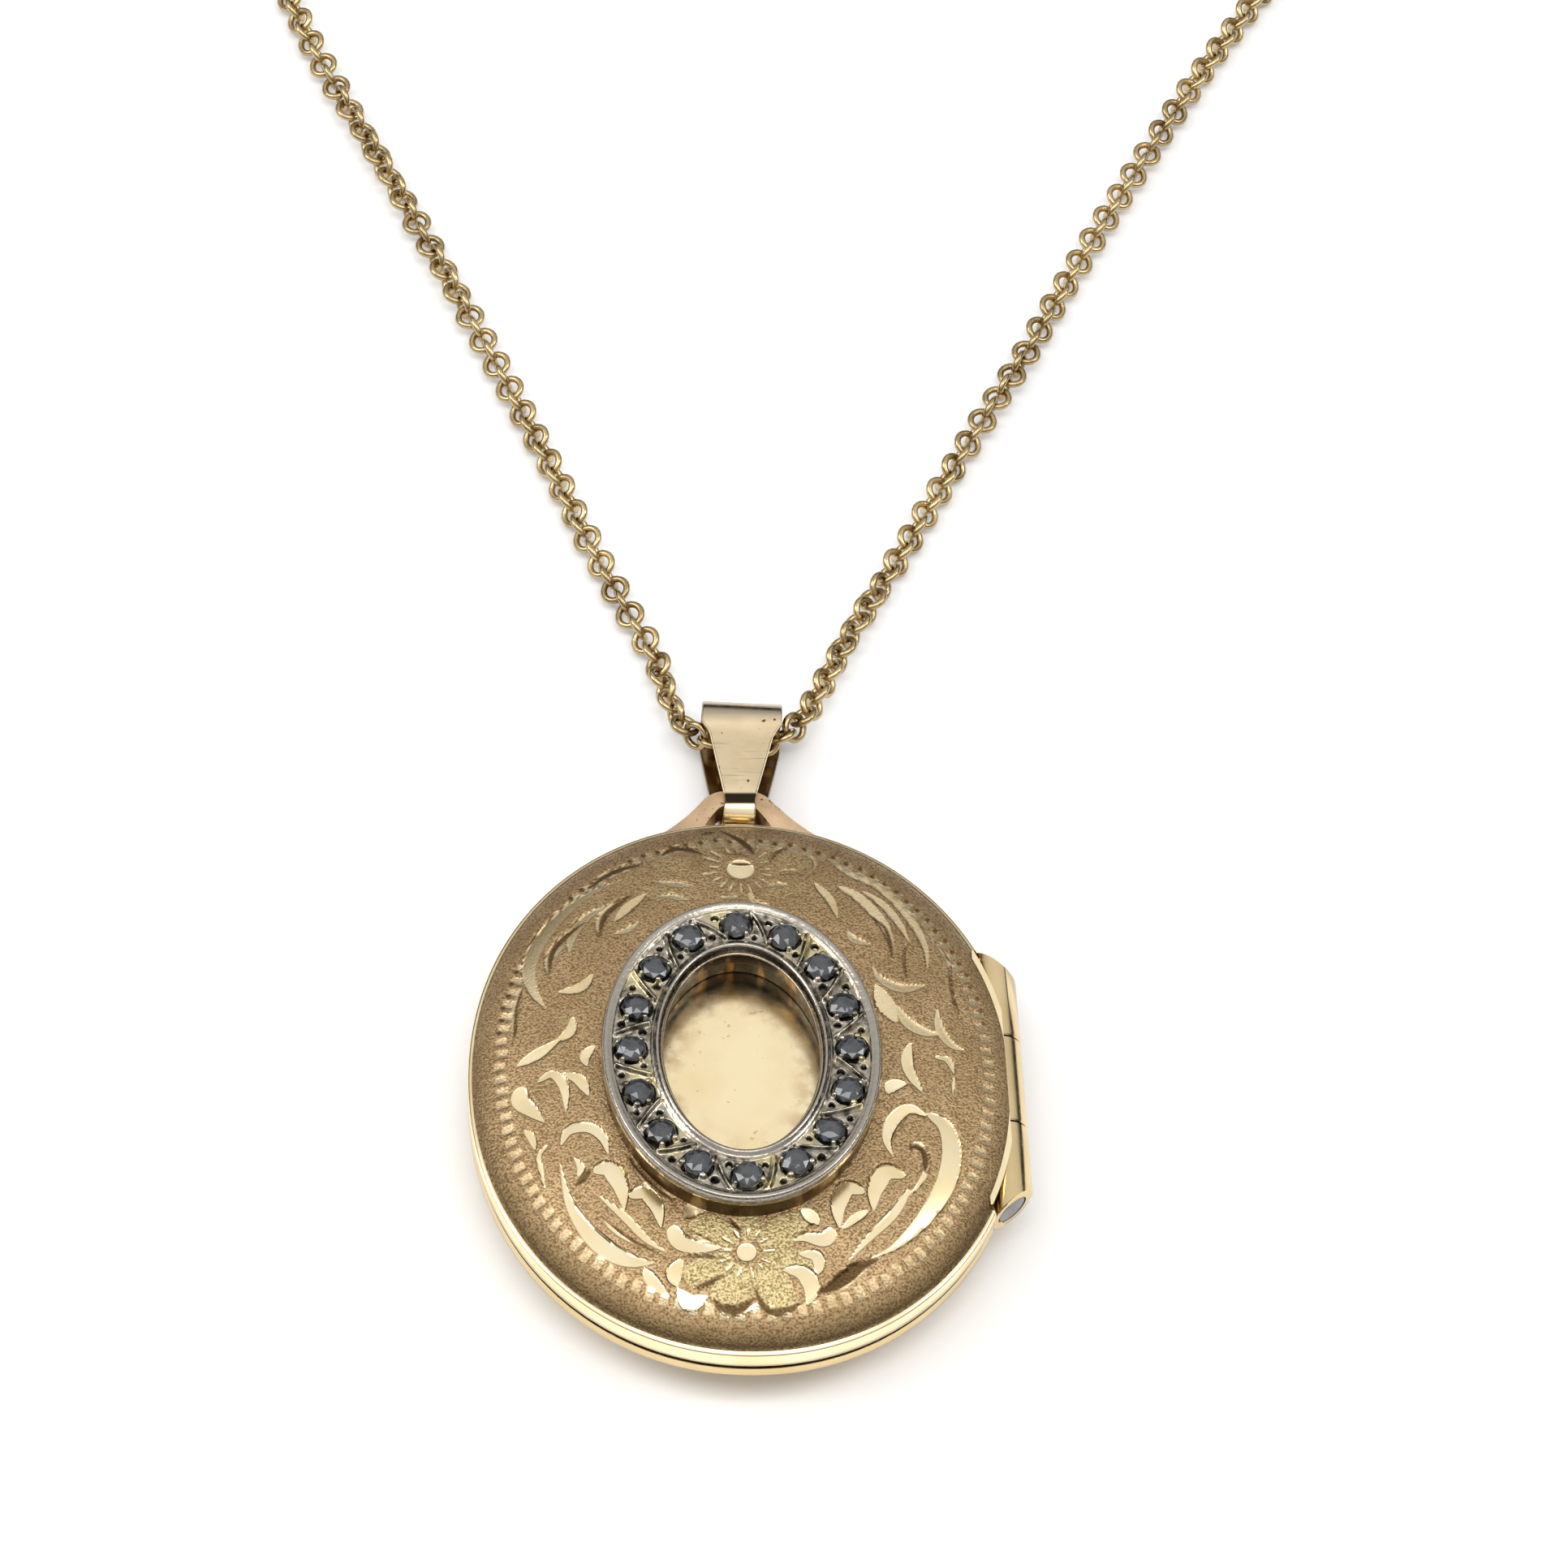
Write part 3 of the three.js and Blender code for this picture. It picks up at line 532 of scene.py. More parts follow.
MATERIALS = {
    "engraved_gold": engraved_gold(),
    "bright_gold": worn_metal("bright_gold", (0.76, 0.59, 0.33), (0.67, 0.51, 0.26), 0.14, 0.08, 0.1),
    "polished_gold": worn_metal("polished_gold", (0.90, 0.73, 0.42), (0.83, 0.65, 0.35), 0.1, 0.06, 0.1),
    "white_gold": setting_metal(),
    "plate": stained_plate(),
    "shaded_wall_gold": shaded_wall_gold(),
    "rose_gold": rose_gold(),
    "bail_gold": bail_gold(),
    "chain_gold": worn_metal("chain_gold", (0.56, 0.43, 0.23), (0.34, 0.25, 0.12), 0.2),
    "grey_steel": worn_metal("grey_steel", (0.34, 0.34, 0.34), (0.22, 0.22, 0.22), 0.38),
    "dark_stone": dark_stone(),
    "clear_window": clear_window(),
    "tie_paper": tie_paper(),
}

# ---- Chain -------------------------------------------------------------------------------------
CHAIN_LENGTH = 450.0
LINK_SIZE = 1.54
LINK_WIRE = 0.34
LINK_PITCH = 0.87
LINK_LEAN = 45.0  # degrees
ROLL_JITTER = 6.0  # degrees from link to link
ROLL_RETURN = 0.12  # share of the way back to the usual lean, from link to link
FLOOR_CLEARANCE = 0.01
# In these stretches, by distance along the chain, links lie flat and on edge by turns, with no lean.
SQUARED_STRETCHES = ((25, 50), (98, 123))
CHAIN_ROUTE = [
    (23.6, 82.6, 0.78), (26.3, 82.5, 0.76), (29.3, 81.6, 0.75), (31.6, 79.6, 0.75), (32.4, 76.8, 0.75),
    (31.8, 74.0, 0.75), (30.2, 71.4, 0.75), (27.6, 67.3, 0.75), (25.2, 63.2, 0.75), (22.9, 59.1, 0.75),
    (20.6, 54.9, 0.75), (18.3, 50.5, 0.75), (16.2, 46.4, 0.75), (13.8, 42.1, 0.75), (11.5, 37.8, 0.75),
    (8.8, 32.7, 0.75), (6.3, 28.1, 0.8), (5.0, 25.2, 1.05), (3.95, 23.0, 1.36), (2.9, 21.65, 1.52),
    (1.8, 21.17, 1.56), (0.75, 21.08, 1.56), (-0.3, 21.17, 1.56), (-1.4, 21.65, 1.52), (-2.25, 23.0, 1.36),
    (-2.75, 24.9, 1.05), (-3.15, 26.9, 0.78), (-4.6, 30.3, 0.75), (-6.3, 34.5, 0.75), (-7.8, 38.6, 0.75),
    (-9.5, 43.0, 0.75), (-11.5, 48.0, 0.75), (-13.3, 52.4, 0.75), (-15.0, 56.4, 0.75), (-16.8, 60.6, 0.75),
    (-18.8, 65.1, 0.75), (-20.6, 69.6, 0.75), (-21.6, 73.2, 0.75), (-21.2, 76.4, 0.75), (-18.9, 78.6, 0.75),
    (-15.9, 79.1, 0.75),
]
COIL_CENTRE = (-2.8, 85.1)
COIL_RADII = (9.05, 7.55)
COIL_HEIGHTS = (1.05, 2.5, 3.95)
COIL_START = 214.0  # degrees, where the chain runs in
TAIL_ROUTE = [(6.3, 79.4, 1.3), (8.1, 80.4, 1.2), (9.6, 81.5, 1.0), (11.3, 82.3, 0.85), (13.1, 82.6, 0.78)]
POINTS_PER_TURN = 48


def coil_points(total_turns):
    """The coil's turns: outer and inner radius on each layer, layer by layer upwards."""
    steps = int(total_turns * POINTS_PER_TURN)
    turn = np.arange(steps + 1) / POINTS_PER_TURN
    outer, inner = COIL_RADII
    low, middle, high = COIL_HEIGHTS
    radii = (outer, inner, inner, outer, outer, inner, inner)
    heights = (low, low, middle, middle, high, high, high)
    stops = np.arange(len(radii))
    settled = np.floor(turn) + np.clip((turn - np.floor(turn)) * 4 - 3, 0, 1)
    radius = np.interp(settled, stops, radii)
    height = np.interp(settled, stops, heights)
    angle = math.radians(COIL_START) + turn * 2 * math.pi
    x = COIL_CENTRE[0] + radius * np.cos(angle)
    y = COIL_CENTRE[1] + radius * np.sin(angle)
    return at_height(x, y, height)


def chain_line():
    """The whole centreline. The coil's turns make its length right and its end meet the tail."""
    lead = smooth_line(CHAIN_ROUTE)
    tail = smooth_line(TAIL_ROUTE)
    best = None
    for turns in np.arange(5.0, 6.6, 1 / POINTS_PER_TURN):
        line = np.vstack([lead, coil_points(turns), tail])
        miss = abs(travelled(*line.T)[-1] - CHAIN_LENGTH)
        gap = np.linalg.norm(coil_points(turns)[-1] - tail[0])
        score = miss * 0.02 + gap
        if best is None or score < best[0]:
            best = (score, line)
    return best[1]


def resample(line, pitch):
    """Points a pitch apart along a line, with the directions there."""
    length = travelled(*line.T)
    wanted = np.arange(0, length[-1], pitch)
    reach = 0.4

    def points_at(travel):
        return np.stack([np.interp(travel, length, values) for values in line.T], 1)

    points = points_at(wanted)
    direction = points_at(wanted + reach) - points_at(wanted - reach)
    direction /= np.linalg.norm(direction, axis=1)[:, None]
    return points, direction


def make_chain():
    """Every link is its own ring of wire. Neighbours stand square to each other."""
    line = chain_line()
    points, directions = resample(line, LINK_PITCH)
    all_points, all_faces = [], []
    roll = LINK_LEAN
    for k, (centre, along) in enumerate(zip(points, directions)):
        travel = k * LINK_PITCH
        squared = any(low < travel < high for low, high in SQUARED_STRETCHES)
        roll += random.normal(0, ROLL_JITTER) + ROLL_RETURN * ((0 if squared else LINK_LEAN) - roll)
        side = np.cross(along, (0, 0, 1))
        side /= np.linalg.norm(side)
        up = np.cross(side, along)
        turn = math.radians(roll + (90 if k % 2 else 0))
        axis = side * math.cos(turn) + up * math.sin(turn)
        ring, faces = torus(centre, axis, (LINK_SIZE - LINK_WIRE) / 2, LINK_WIRE / 2, 20, 8, along)
        ring[:, 2] = np.maximum(ring[:, 2], FLOOR_CLEARANCE)
        all_faces.append(faces + k * len(ring))
        all_points.append(ring)
    chain = make_piece("chain_links", np.vstack(all_points), np.vstack(all_faces), "chain_gold", "chain")
    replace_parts(chain, "chain", "chain_coil", "chain_tail")
    return chain, line


chain, chain_centreline = make_chain()


def ring_piece(node, axis, mean_radius, wire):
    """A smooth ring of wire in the place of a CAD one."""
    low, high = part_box(node)
    points, faces = torus((low + high) / 2 / MM, axis, mean_radius, wire)
    piece = make_piece(node + "_wire", points, faces, "bright_gold", "chain")
    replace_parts(piece, node)
    return piece


clasp_eyelet = ring_piece("clasp_eyelet", (0, 0, 1), 0.78, 0.22)
clasp_jump_ring = ring_piece("clasp_jump_ring", (0, 1, 0), 1.05, 0.2)
chain_end_ring = ring_piece("chain_end_ring", (0, 1, 0), 1.3, 0.2)

# ---- Engraving: strokes in millimetres on the front cover, seen from above ---------------------
# Each stroke is (points, width, side of the deep edge, place of the widest part). The side is 1 and
# the place 0.5, the middle, where they aren't given.
LEFT_SCROLLS = [
    ([(-7.0, 10.2), (-6.2, 11.05), (-5.2, 11.5), (-4.1, 11.65)], 0.42),
    ([(-5.0, 10.8), (-6.5, 10.2), (-7.7, 9.3), (-8.6, 8.3), (-9.4, 7.0), (-9.75, 5.6), (-9.55, 4.3),
      (-9.0, 3.2)], 0.75, -1, 0.6),
    ([(-7.0, 8.3), (-8.0, 7.4), (-8.7, 6.3), (-8.9, 5.0)], 0.6, -1, 0.55),
    ([(-5.9, 9.2), (-7.0, 8.5), (-7.7, 7.5), (-7.9, 6.3)], 0.55, -1, 0.55),
    ([(-4.7, 9.7), (-5.6, 9.2), (-6.4, 8.3), (-6.5, 7.0)], 0.4, -1, 0.55),
    ([(-4.2, 9.7), (-5.1, 8.9), (-5.8, 8.0)], 0.5),
    ([(-5.9, 7.3), (-5.2, 7.5), (-4.6, 8.0)], 0.35),
    ([(-10.0, 4.9), (-10.4, 3.6), (-10.5, 2.2), (-10.65, 1.2)], 0.24),
    ([(-6.8, 5.0), (-7.4, 4.3), (-8.5, 4.1)], 0.5, 1, 0.45),
    ([(-7.8, 2.7), (-7.9, 1.9), (-8.6, 1.3)], 0.5),
    ([(-8.2, 1.6), (-9.2, 0.9), (-10.4, 0.2)], 0.55, 1, 0.6),
    ([(-6.8, 1.0), (-7.3, 0.4), (-7.2, -0.2)], 0.5),
    ([(-9.5, -0.8), (-8.8, -0.4), (-8.3, -1.1), (-8.2, -2.6)], 0.5, 1, 0.4),
    ([(-8.3, -0.4), (-7.6, -0.8), (-7.15, -1.8)], 0.6, 1, 0.45),
    ([(-10.1, -0.9), (-10.25, -1.6), (-9.7, -2.3), (-9.15, -3.0)], 0.85, 1, 0.35),
]
LOWER_LEFT = [
    ([(-10.1, -3.2), (-9.8, -3.6), (-9.6, -4.4)], 0.4, 1, 0.4),
    ([(-9.0, -4.1), (-9.45, -4.6), (-9.35, -5.5), (-9.2, -6.5)], 0.26, -1, 0.35),
    ([(-8.5, -4.3), (-8.1, -3.5), (-7.2, -3.4), (-6.6, -4.0), (-6.35, -5.0)], 0.6, 1, 0.45),
    ([(-7.9, -4.9), (-7.6, -5.5), (-7.75, -6.2)], 0.35),
    ([(-7.1, -5.7), (-6.4, -5.6), (-5.9, -6.4), (-5.7, -7.8)], 0.9, 1, 0.35),
    ([(-5.5, -7.1), (-4.8, -6.9), (-4.3, -7.6), (-4.1, -8.8)], 0.8, 1, 0.35),
    ([(-8.6, -4.5), (-8.4, -6.0), (-8.1, -7.3), (-7.4, -8.6), (-6.5, -9.6), (-5.5, -10.2), (-4.4, -10.4)],
     0.85, 1, 0.7),
    ([(-7.0, -7.8), (-6.0, -8.9), (-4.9, -9.6), (-3.7, -10.35)], 0.22),
    ([(-6.9, -6.9), (-5.7, -8.1), (-4.7, -9.3), (-3.8, -10.0)], 0.42),
    ([(-4.9, -10.6), (-4.5, -11.3), (-3.8, -12.0)], 0.6, 1, 0.4),
    ([(-5.6, -4.9), (-4.6, -6.4), (-3.3, -7.5)], 0.4),
]
RIGHT_SCROLLS = [
    ([(4.3, 12.0), (5.2, 11.1), (6.5, 10.4), (7.4, 9.4), (8.2, 7.9), (8.6, 6.6), (8.6, 5.2)],
     0.5, -1, 0.45),
    ([(4.7, 10.1), (5.4, 9.7), (6.1, 8.9), (6.7, 7.9), (7.0, 6.8), (7.0, 5.6)], 0.55, -1, 0.35),
    ([(5.8, 9.95), (6.7, 9.2), (7.4, 8.1), (7.9, 6.8)], 0.42, -1, 0.45),
    ([(3.6, 10.3), (4.3, 9.2), (4.6, 8.0)], 0.42, -1, 0.4),
    ([(8.2, 7.7), (9.0, 7.1), (9.6, 6.0), (9.65, 4.4), (10.0, 2.3)], 0.2),
    ([(7.7, 7.0), (7.5, 5.8), (7.6, 4.6)], 0.2),
    ([(5.0, 7.5), (5.25, 6.9), (6.1, 6.6)], 0.42),
    ([(6.0, 5.4), (6.4, 4.6), (7.3, 4.15), (8.5, 4.4)], 0.55, 1, 0.55),
    ([(6.1, 4.3), (6.5, 3.2), (7.0, 2.1)], 0.85, -1),
    ([(7.0, 3.2), (7.5, 2.2), (8.3, 1.7), (9.0, 1.65)], 0.6),
    ([(8.9, 3.1), (9.0, 1.9), (9.5, 1.1), (10.15, 0.85)], 0.5),
    ([(7.6, 1.1), (7.35, 0.1), (7.5, -0.7), (8.0, -1.7)], 0.6, 1, 0.45),
    ([(8.6, 0.35), (9.2, 0.3), (9.55, -0.6)], 0.35, 1, 0.4),
    ([(9.5, -0.5), (9.4, -1.2), (9.4, -1.8)], 0.16),
    ([(6.35, -1.8), (6.6, -1.35), (7.3, -1.2)], 0.6, -1, 0.4),
]
LOWER_RIGHT = [
    ([(8.1, -2.9), (7.3, -2.55), (6.55, -3.2), (6.2, -4.2), (6.45, -5.2)], 0.6, 1, 0.45),
    ([(8.1, -2.7), (8.9, -3.3), (9.15, -4.5), (8.9, -5.9), (8.3, -7.2), (7.4, -8.5), (6.3, -9.6),
      (5.3, -10.2)], 0.95, 1, 0.3),
    ([(7.1, -4.7), (7.6, -4.35), (7.95, -5.0), (7.8, -6.0), (7.0, -7.2)], 0.34, 1, 0.35),
    ([(7.1, -6.7), (6.3, -8.0), (5.1, -9.3), (4.1, -10.5)], 0.45, -1, 0.35),
    ([(6.95, -6.1), (6.1, -5.9), (5.55, -6.8), (5.4, -8.0)], 0.9, -1, 0.38),
    ([(5.1, -7.0), (4.3, -6.8), (3.85, -7.7), (3.85, -8.9)], 0.85, -1, 0.38),
    ([(5.2, -7.9), (4.6, -8.3), (3.9, -8.95)], 0.4, 1, 0.4),
    ([(5.6, -10.0), (4.6, -10.8), (3.8, -11.5), (2.6, -11.95)], 0.6, -1, 0.45),
]
TOP_FLOWER = [
    ([(-3.5, 12.1), (-2.8, 12.6), (-2.1, 12.5), (-1.2, 12.1)], 0.36, 1, 0.45),
    ([(-0.65, 13.85), (0.2, 13.1), (0.6, 12.6), (0.9, 12.0)], 0.42),
    ([(0.95, 12.1), (1.05, 12.6), (1.25, 13.0)], 0.18),
    ([(1.5, 11.5), (1.8, 12.1), (2.6, 12.7)], 0.22),
    ([(-1.6, 13.55), (-1.2, 13.7), (-0.7, 13.6)], 0.22),
    ([(1.9, 11.0), (2.4, 11.1), (2.95, 11.0)], 0.2),
    ([(-4.0, 10.5), (-3.2, 10.3), (-2.05, 10.05)], 0.4, 1, 0.6),
    ([(-3.9, 9.5), (-3.1, 9.45), (-2.3, 9.2)], 0.36, 1, 0.6),
    ([(1.3, 10.0), (1.9, 10.15), (2.4, 10.1)], 0.3),
    ([(-0.9, 9.3), (-0.3, 9.35), (0.15, 9.3)], 0.26),
    ([(0.5, 9.6), (0.8, 9.0), (1.7, 8.75)], 0.36, 1, 0.4),
    ([(3.6, 11.0), (3.7, 11.8), (3.0, 12.4)], 0.2),
]
BOTTOM_FLOWER = [
    ([(-3.6, -8.6), (-3.3, -9.4), (-2.3, -9.75), (-1.4, -9.8)], 0.85, 1, 0.3),
    ([(-3.1, -8.3), (-2.6, -7.85), (-2.1, -8.0)], 0.7, -1),
    ([(2.1, -7.9), (2.5, -8.2), (2.95, -8.7)], 0.6, -1),
    ([(3.5, -8.8), (3.2, -9.35), (2.3, -9.3), (1.7, -9.5)], 0.75, -1, 0.3),
    ([(1.9, -10.1), (2.75, -10.2), (2.85, -10.7), (2.6, -11.2)], 0.6),
    ([(1.1, -10.85), (2.1, -11.0), (2.5, -11.6), (2.3, -12.5)], 0.85, 1, 0.55),
    ([(-3.2, -10.2), (-3.6, -10.9), (-3.45, -11.6)], 0.7, -1),
    ([(-3.5, -11.6), (-2.9, -12.3), (-2.1, -12.0)], 0.75, -1),
    ([(-3.3, -10.1), (-2.4, -10.15), (-1.4, -10.35)], 0.16),
    ([(-2.8, -11.6), (-2.2, -11.45), (-1.4, -11.0)], 0.3, -1, 0.3),
    ([(-1.9, -12.0), (-1.4, -12.7), (-0.6, -12.7), (0.3, -12.3)], 0.42, -1),
    ([(0.0, -11.4), (0.3, -12.4), (1.0, -12.75), (2.0, -12.3)], 0.42, -1, 0.65),
    ([(-3.2, -8.6), (-2.3, -9.3), (-1.4, -9.7)], 0.14),
    ([(1.7, -9.1), (2.3, -8.9), (2.8, -8.5)], 0.14),
]
DARK_CUTS = [  # narrow deep cuts, painted dark brown as shade
    ([(-7.0, 8.25), (-7.9, 7.5), (-8.6, 6.6), (-8.85, 5.0)], 0.26),
    ([(-4.7, 9.8), (-5.6, 9.1), (-6.2, 8.4), (-6.5, 7.0)], 0.26),
    ([(-7.0, 10.15), (-6.2, 10.95), (-5.4, 11.4), (-4.2, 11.65)], 0.28),
    ([(-3.5, 12.05), (-2.95, 12.55), (-2.3, 12.55), (-1.45, 12.1)], 0.3),
    ([(-10.05, 4.6), (-10.35, 3.4), (-10.45, 2.1), (-10.65, 1.1)], 0.14),
    ([(-7.0, -7.7), (-6.2, -8.5), (-5.3, -9.3), (-3.7, -10.3)], 0.15),
    ([(-5.7, -4.7), (-5.0, -5.8), (-4.2, -6.8), (-3.4, -7.5)], 0.25),
    ([(-7.1, -5.5), (-7.45, -5.9), (-7.9, -6.4)], 0.3),
    ([(-1.95, -12.1), (-1.4, -12.6), (-0.8, -12.65), (0.05, -12.1)], 0.42),
    ([(-0.05, -11.6), (0.15, -12.2), (0.6, -12.75), (1.2, -12.7), (2.1, -12.35)], 0.32),
    ([(-2.8, -11.6), (-2.2, -11.45), (-1.3, -11.0)], 0.25),
    ([(-3.3, -10.15), (-2.2, -10.2), (-1.1, -10.3)], 0.14),
    ([(-3.2, -8.6), (-2.3, -9.2), (-1.3, -9.7)], 0.1),
    ([(2.9, -8.5), (2.2, -9.0), (1.4, -9.4)], 0.1),
    ([(-1.1, -8.3), (-0.8, -8.7), (-0.5, -9.0)], 0.25),
    ([(6.0, 8.5), (6.7, 7.8), (6.95, 6.9), (7.05, 5.6)], 0.16),
    ([(7.65, 6.9), (7.5, 5.8), (7.6, 4.5)], 0.1),
    ([(9.6, 6.0), (9.65, 4.4), (9.8, 3.0), (10.0, 2.2)], 0.12),
    ([(7.1, -4.8), (7.45, -4.5), (7.85, -4.8), (7.85, -5.95)], 0.3),
    ([(2.65, -11.95), (3.4, -11.6), (4.1, -11.1), (4.7, -10.6), (5.6, -10.2)], 0.62),
    ([(-0.75, 13.95), (-0.1, 13.5), (0.45, 12.9), (0.92, 12.05)], 0.34),
    ([(-1.55, 13.5), (-1.2, 13.7), (-0.8, 13.75)], 0.14),
    ([(2.6, 12.7), (2.0, 12.25), (1.5, 11.5)], 0.14),
    ([(-0.35, 11.5), (0.2, 11.45), (0.85, 11.45)], 0.14),
    ([(-0.4, 12.05), (0.1, 12.12), (0.7, 11.95)], 0.12),
]
PETALS = [  # (middle, half length, half width, direction in degrees)
    ((-1.75, -9.0), 1.25, 0.75, 148), ((1.35, -9.0), 1.35, 0.8, 30), ((1.65, -10.45), 1.3, 0.62, 350),
    ((-2.05, -10.75), 1.25, 0.68, 200), ((-1.05, -11.6), 1.2, 0.85, 243), ((0.8, -11.6), 1.25, 0.85, 298),
    ((-0.2, -8.7), 0.8, 0.5, 90), ((-3.0, 11.6), 1.0, 0.6, 165), ((2.8, 11.8), 0.9, 0.75, 40),
    ((-1.3, 12.9), 0.7, 0.55, 120), ((1.9, 13.0), 0.8, 0.5, 50), ((-3.4, 9.6), 1.2, 0.4, 165),
    ((2.3, 9.8), 1.1, 0.45, 20),
]
FLOWER_CENTRES = [((-0.35, -10.0), 0.52, 13), ((0.2, 11.1), 0.72, 19)]  # (middle, radius, stamens)
STAMEN_WIDTH = 0.15
BORDER_SHARE = 0.9  # of the dome's radius
BORDER_PITCH = 0.69
BORDER_HALF_WIDTH = 0.26
BORDER_TICK_HALF_LENGTH = 0.2
BORDER_TICK_DEPTH = 0.08
BORDER_DOT_RADIUS = 0.13
EDGE_RAMP = 0.26  # width of the masks' soft edge
CUT_SLOPE = 0.15  # depth of a cut as a share of its width
HINGE_SIDE_EDGE = 12.0  # the dome stops here above the hinge's barrel


def stamen_strokes():
    """Short cuts that radiate from each flower's flat middle."""
    strokes = []
    for (x, y), radius, count in FLOWER_CENTRES:
        for k in range(count):
            angle = 2 * math.pi * (k + 0.3 * random.random()) / count
            reach = radius * (1.0 + 0.75 * random.random())
            start, end = radius * 1.02, radius + reach
            line = []
            for distance in (start, (start + end) / 2, end):
                line.append((x + distance * math.cos(angle), y + distance * math.sin(angle)))
            strokes.append((line, STAMEN_WIDTH, 1, 0.7))
    return strokes


def soft_edge(inward):
    """0 outside, 1 inside and 0.5 on an edge: the material turns it into a crisp line."""
    return np.clip(0.5 + inward / EDGE_RAMP, 0, 1)


def stroke_cut(x, y, points, width, side=1, widest=0.5):
    """Depth and brightness of one bright cut at points, and the painted shadow along its deep edge."""
    line = smooth_line(points, 8)
    left, bottom = line.min(axis=0) - width
    right, top = line.max(axis=0) + width
    near = (x > left) & (x < right) & (y > bottom) & (y < top)
    depth, bright, dark = (np.zeros_like(x) for _ in range(3))
    px, py = x[near], y[near]
    if not len(px):
        return depth, bright, dark
    start, step = line[:-1], np.diff(line, axis=0)
    length = np.linalg.norm(step, axis=1)
    dx, dy = px[:, None] - start[None, :, 0], py[:, None] - start[None, :, 1]
    along = np.clip((dx * step[:, 0] + dy * step[:, 1]) / length ** 2, 0, 1)
    distance = np.hypot(dx - along * step[:, 0], dy - along * step[:, 1])
    nearest = distance.argmin(axis=1)
    pick = np.arange(len(px))
    distance = distance[pick, nearest]
    sign = np.sign(step[nearest, 0] * dy[pick, nearest] - step[nearest, 1] * dx[pick, nearest])
    before = np.concatenate([[0], np.cumsum(length)])
    share = (before[nearest] + along[pick, nearest] * length[nearest]) / before[-1]
    power = math.log(0.5) / math.log(widest)  # puts the widest part where the stroke says
    half = width / 2 * np.sin(math.pi * np.clip(share, 0, 1) ** power) ** 0.8 + 1e-6
    across = distance * sign * side / half  # 1 at the deep edge, -1 at the shallow one
    facet = np.where(np.abs(across) < 1, (across + 1) / 2, 0)
    depth[near] = facet * 2 * half * CUT_SLOPE
    bright[near] = soft_edge(half - distance) * (half > 0.02)
    # painted shadow along the cut's deep edge
    edge = np.exp(-(((across - 1) * half) / 0.05) ** 2) * (half > 0.04)
    dark[near] = np.where((across > 0.6) & (across * half < half + 0.09), edge, 0)
    return depth, bright, dark


def border_cut(x, y):
    """A ring of small cuts near the dome's edge: dark dots in the upper half, faint shade below."""
    radius = cover_radius(x, y)
    fine = np.linspace(0, 2 * math.pi, 2881)
    length = travelled(*cover_points(fine, DOME_RADIUS * BORDER_SHARE))
    angle = np.arctan2(y / STRETCH, x) % (2 * math.pi)
    count = round(length[-1] / BORDER_PITCH)
    travel = np.interp(angle, fine, length) / length[-1] * count
    tooth = travel - np.floor(travel)
    wobble = 0.05 * np.sin(np.floor(travel) * 2.4)
    off = radius - DOME_RADIUS * BORDER_SHARE + wobble
    in_border = BORDER_HALF_WIDTH - np.abs(off)
    from_tick = np.abs((tooth - 0.46) * BORDER_PITCH)
    bright = soft_edge(np.minimum(in_border, BORDER_TICK_HALF_LENGTH - from_tick))
    depth = bright * tooth * BORDER_TICK_DEPTH
    shade = soft_edge(np.minimum(in_border, 0.09 - np.abs((tooth - 0.87) * BORDER_PITCH)))
    dots = soft_edge(BORDER_DOT_RADIUS - np.hypot(off - 0.2, (tooth - 0.75) * BORDER_PITCH))
    dark = np.where(y > 2, dots, shade * 0.55)
    return depth, bright, dark


def petal_mask(x, y):
    """How far points lie inside a petal, and the dark seam round each. The upper petals are faint."""
    mask, seam = np.zeros_like(x), np.zeros_like(x)
    for (mx, my), half_length, half_width, degrees in PETALS:
        c, s = math.cos(math.radians(degrees)), math.sin(math.radians(degrees))
        along = ((x - mx) * c + (y - my) * s) / half_length
        across = (-(x - mx) * s + (y - my) * c) / half_width
        inside = 1 - np.abs(along) ** 2.6 - np.abs(across) ** 2.6
        tint = 1.0 if my < 0 else 0.35
        mask = np.maximum(mask, np.clip(inside * 3, 0, 1) * tint)
        seam = np.maximum(seam, np.exp(-(inside / 0.13) ** 2) * 0.62 * tint)
    return mask, seam


def engrave(x, y):
    """Depth, bright cuts, petals, dark marks (painted shade in grooves and cuts, and border dots) and the
    cuts' shine at points of the dome.
    """
    depth, bright, dark = border_cut(x, y)
    tone = np.where(bright > 0, 0.3, 1.0)  # how bright a cut shines: the border's ticks are worn
    petal, seam = petal_mask(x, y)
    depth = depth - 0.04 * petal + 0.03 * seam
    dark = np.maximum(dark, seam)
    for (mx, my), radius, _ in FLOWER_CENTRES:
        inside = np.clip((radius - np.hypot(x - mx, y - my)) / 0.12, 0, 1)
        depth = depth + 0.05 * inside
        bright = np.maximum(bright, 0.9 * inside)
    painted_shine_by_height = 0.55 + 0.45 * np.clip((5 - y) / 6, 0, 1)  # painted shade: the upper cuts fade nearly to the matte colour
    scrolls = LEFT_SCROLLS + LOWER_LEFT + RIGHT_SCROLLS + LOWER_RIGHT
    for stroke in scrolls + TOP_FLOWER + BOTTOM_FLOWER + stamen_strokes():
        cut, shine, edge = stroke_cut(x, y, *stroke)
        depth = np.maximum(depth, cut)
        tone = np.where(shine > 0, painted_shine_by_height, tone)
        bright = np.maximum(bright, shine)
        # painted shadow along each cut's deep edge
        dark = np.maximum(dark * (1 - shine), edge * 0.8)
    # the dark cuts: painted shade in place of the bright colour
    for stroke in DARK_CUTS:
        cut, shine, _ = stroke_cut(x, y, *stroke)
        depth = np.maximum(depth, cut * 2)
        bright = bright * (1 - shine)
        dark = np.maximum(dark, shine)
    return depth, bright, petal, dark, tone


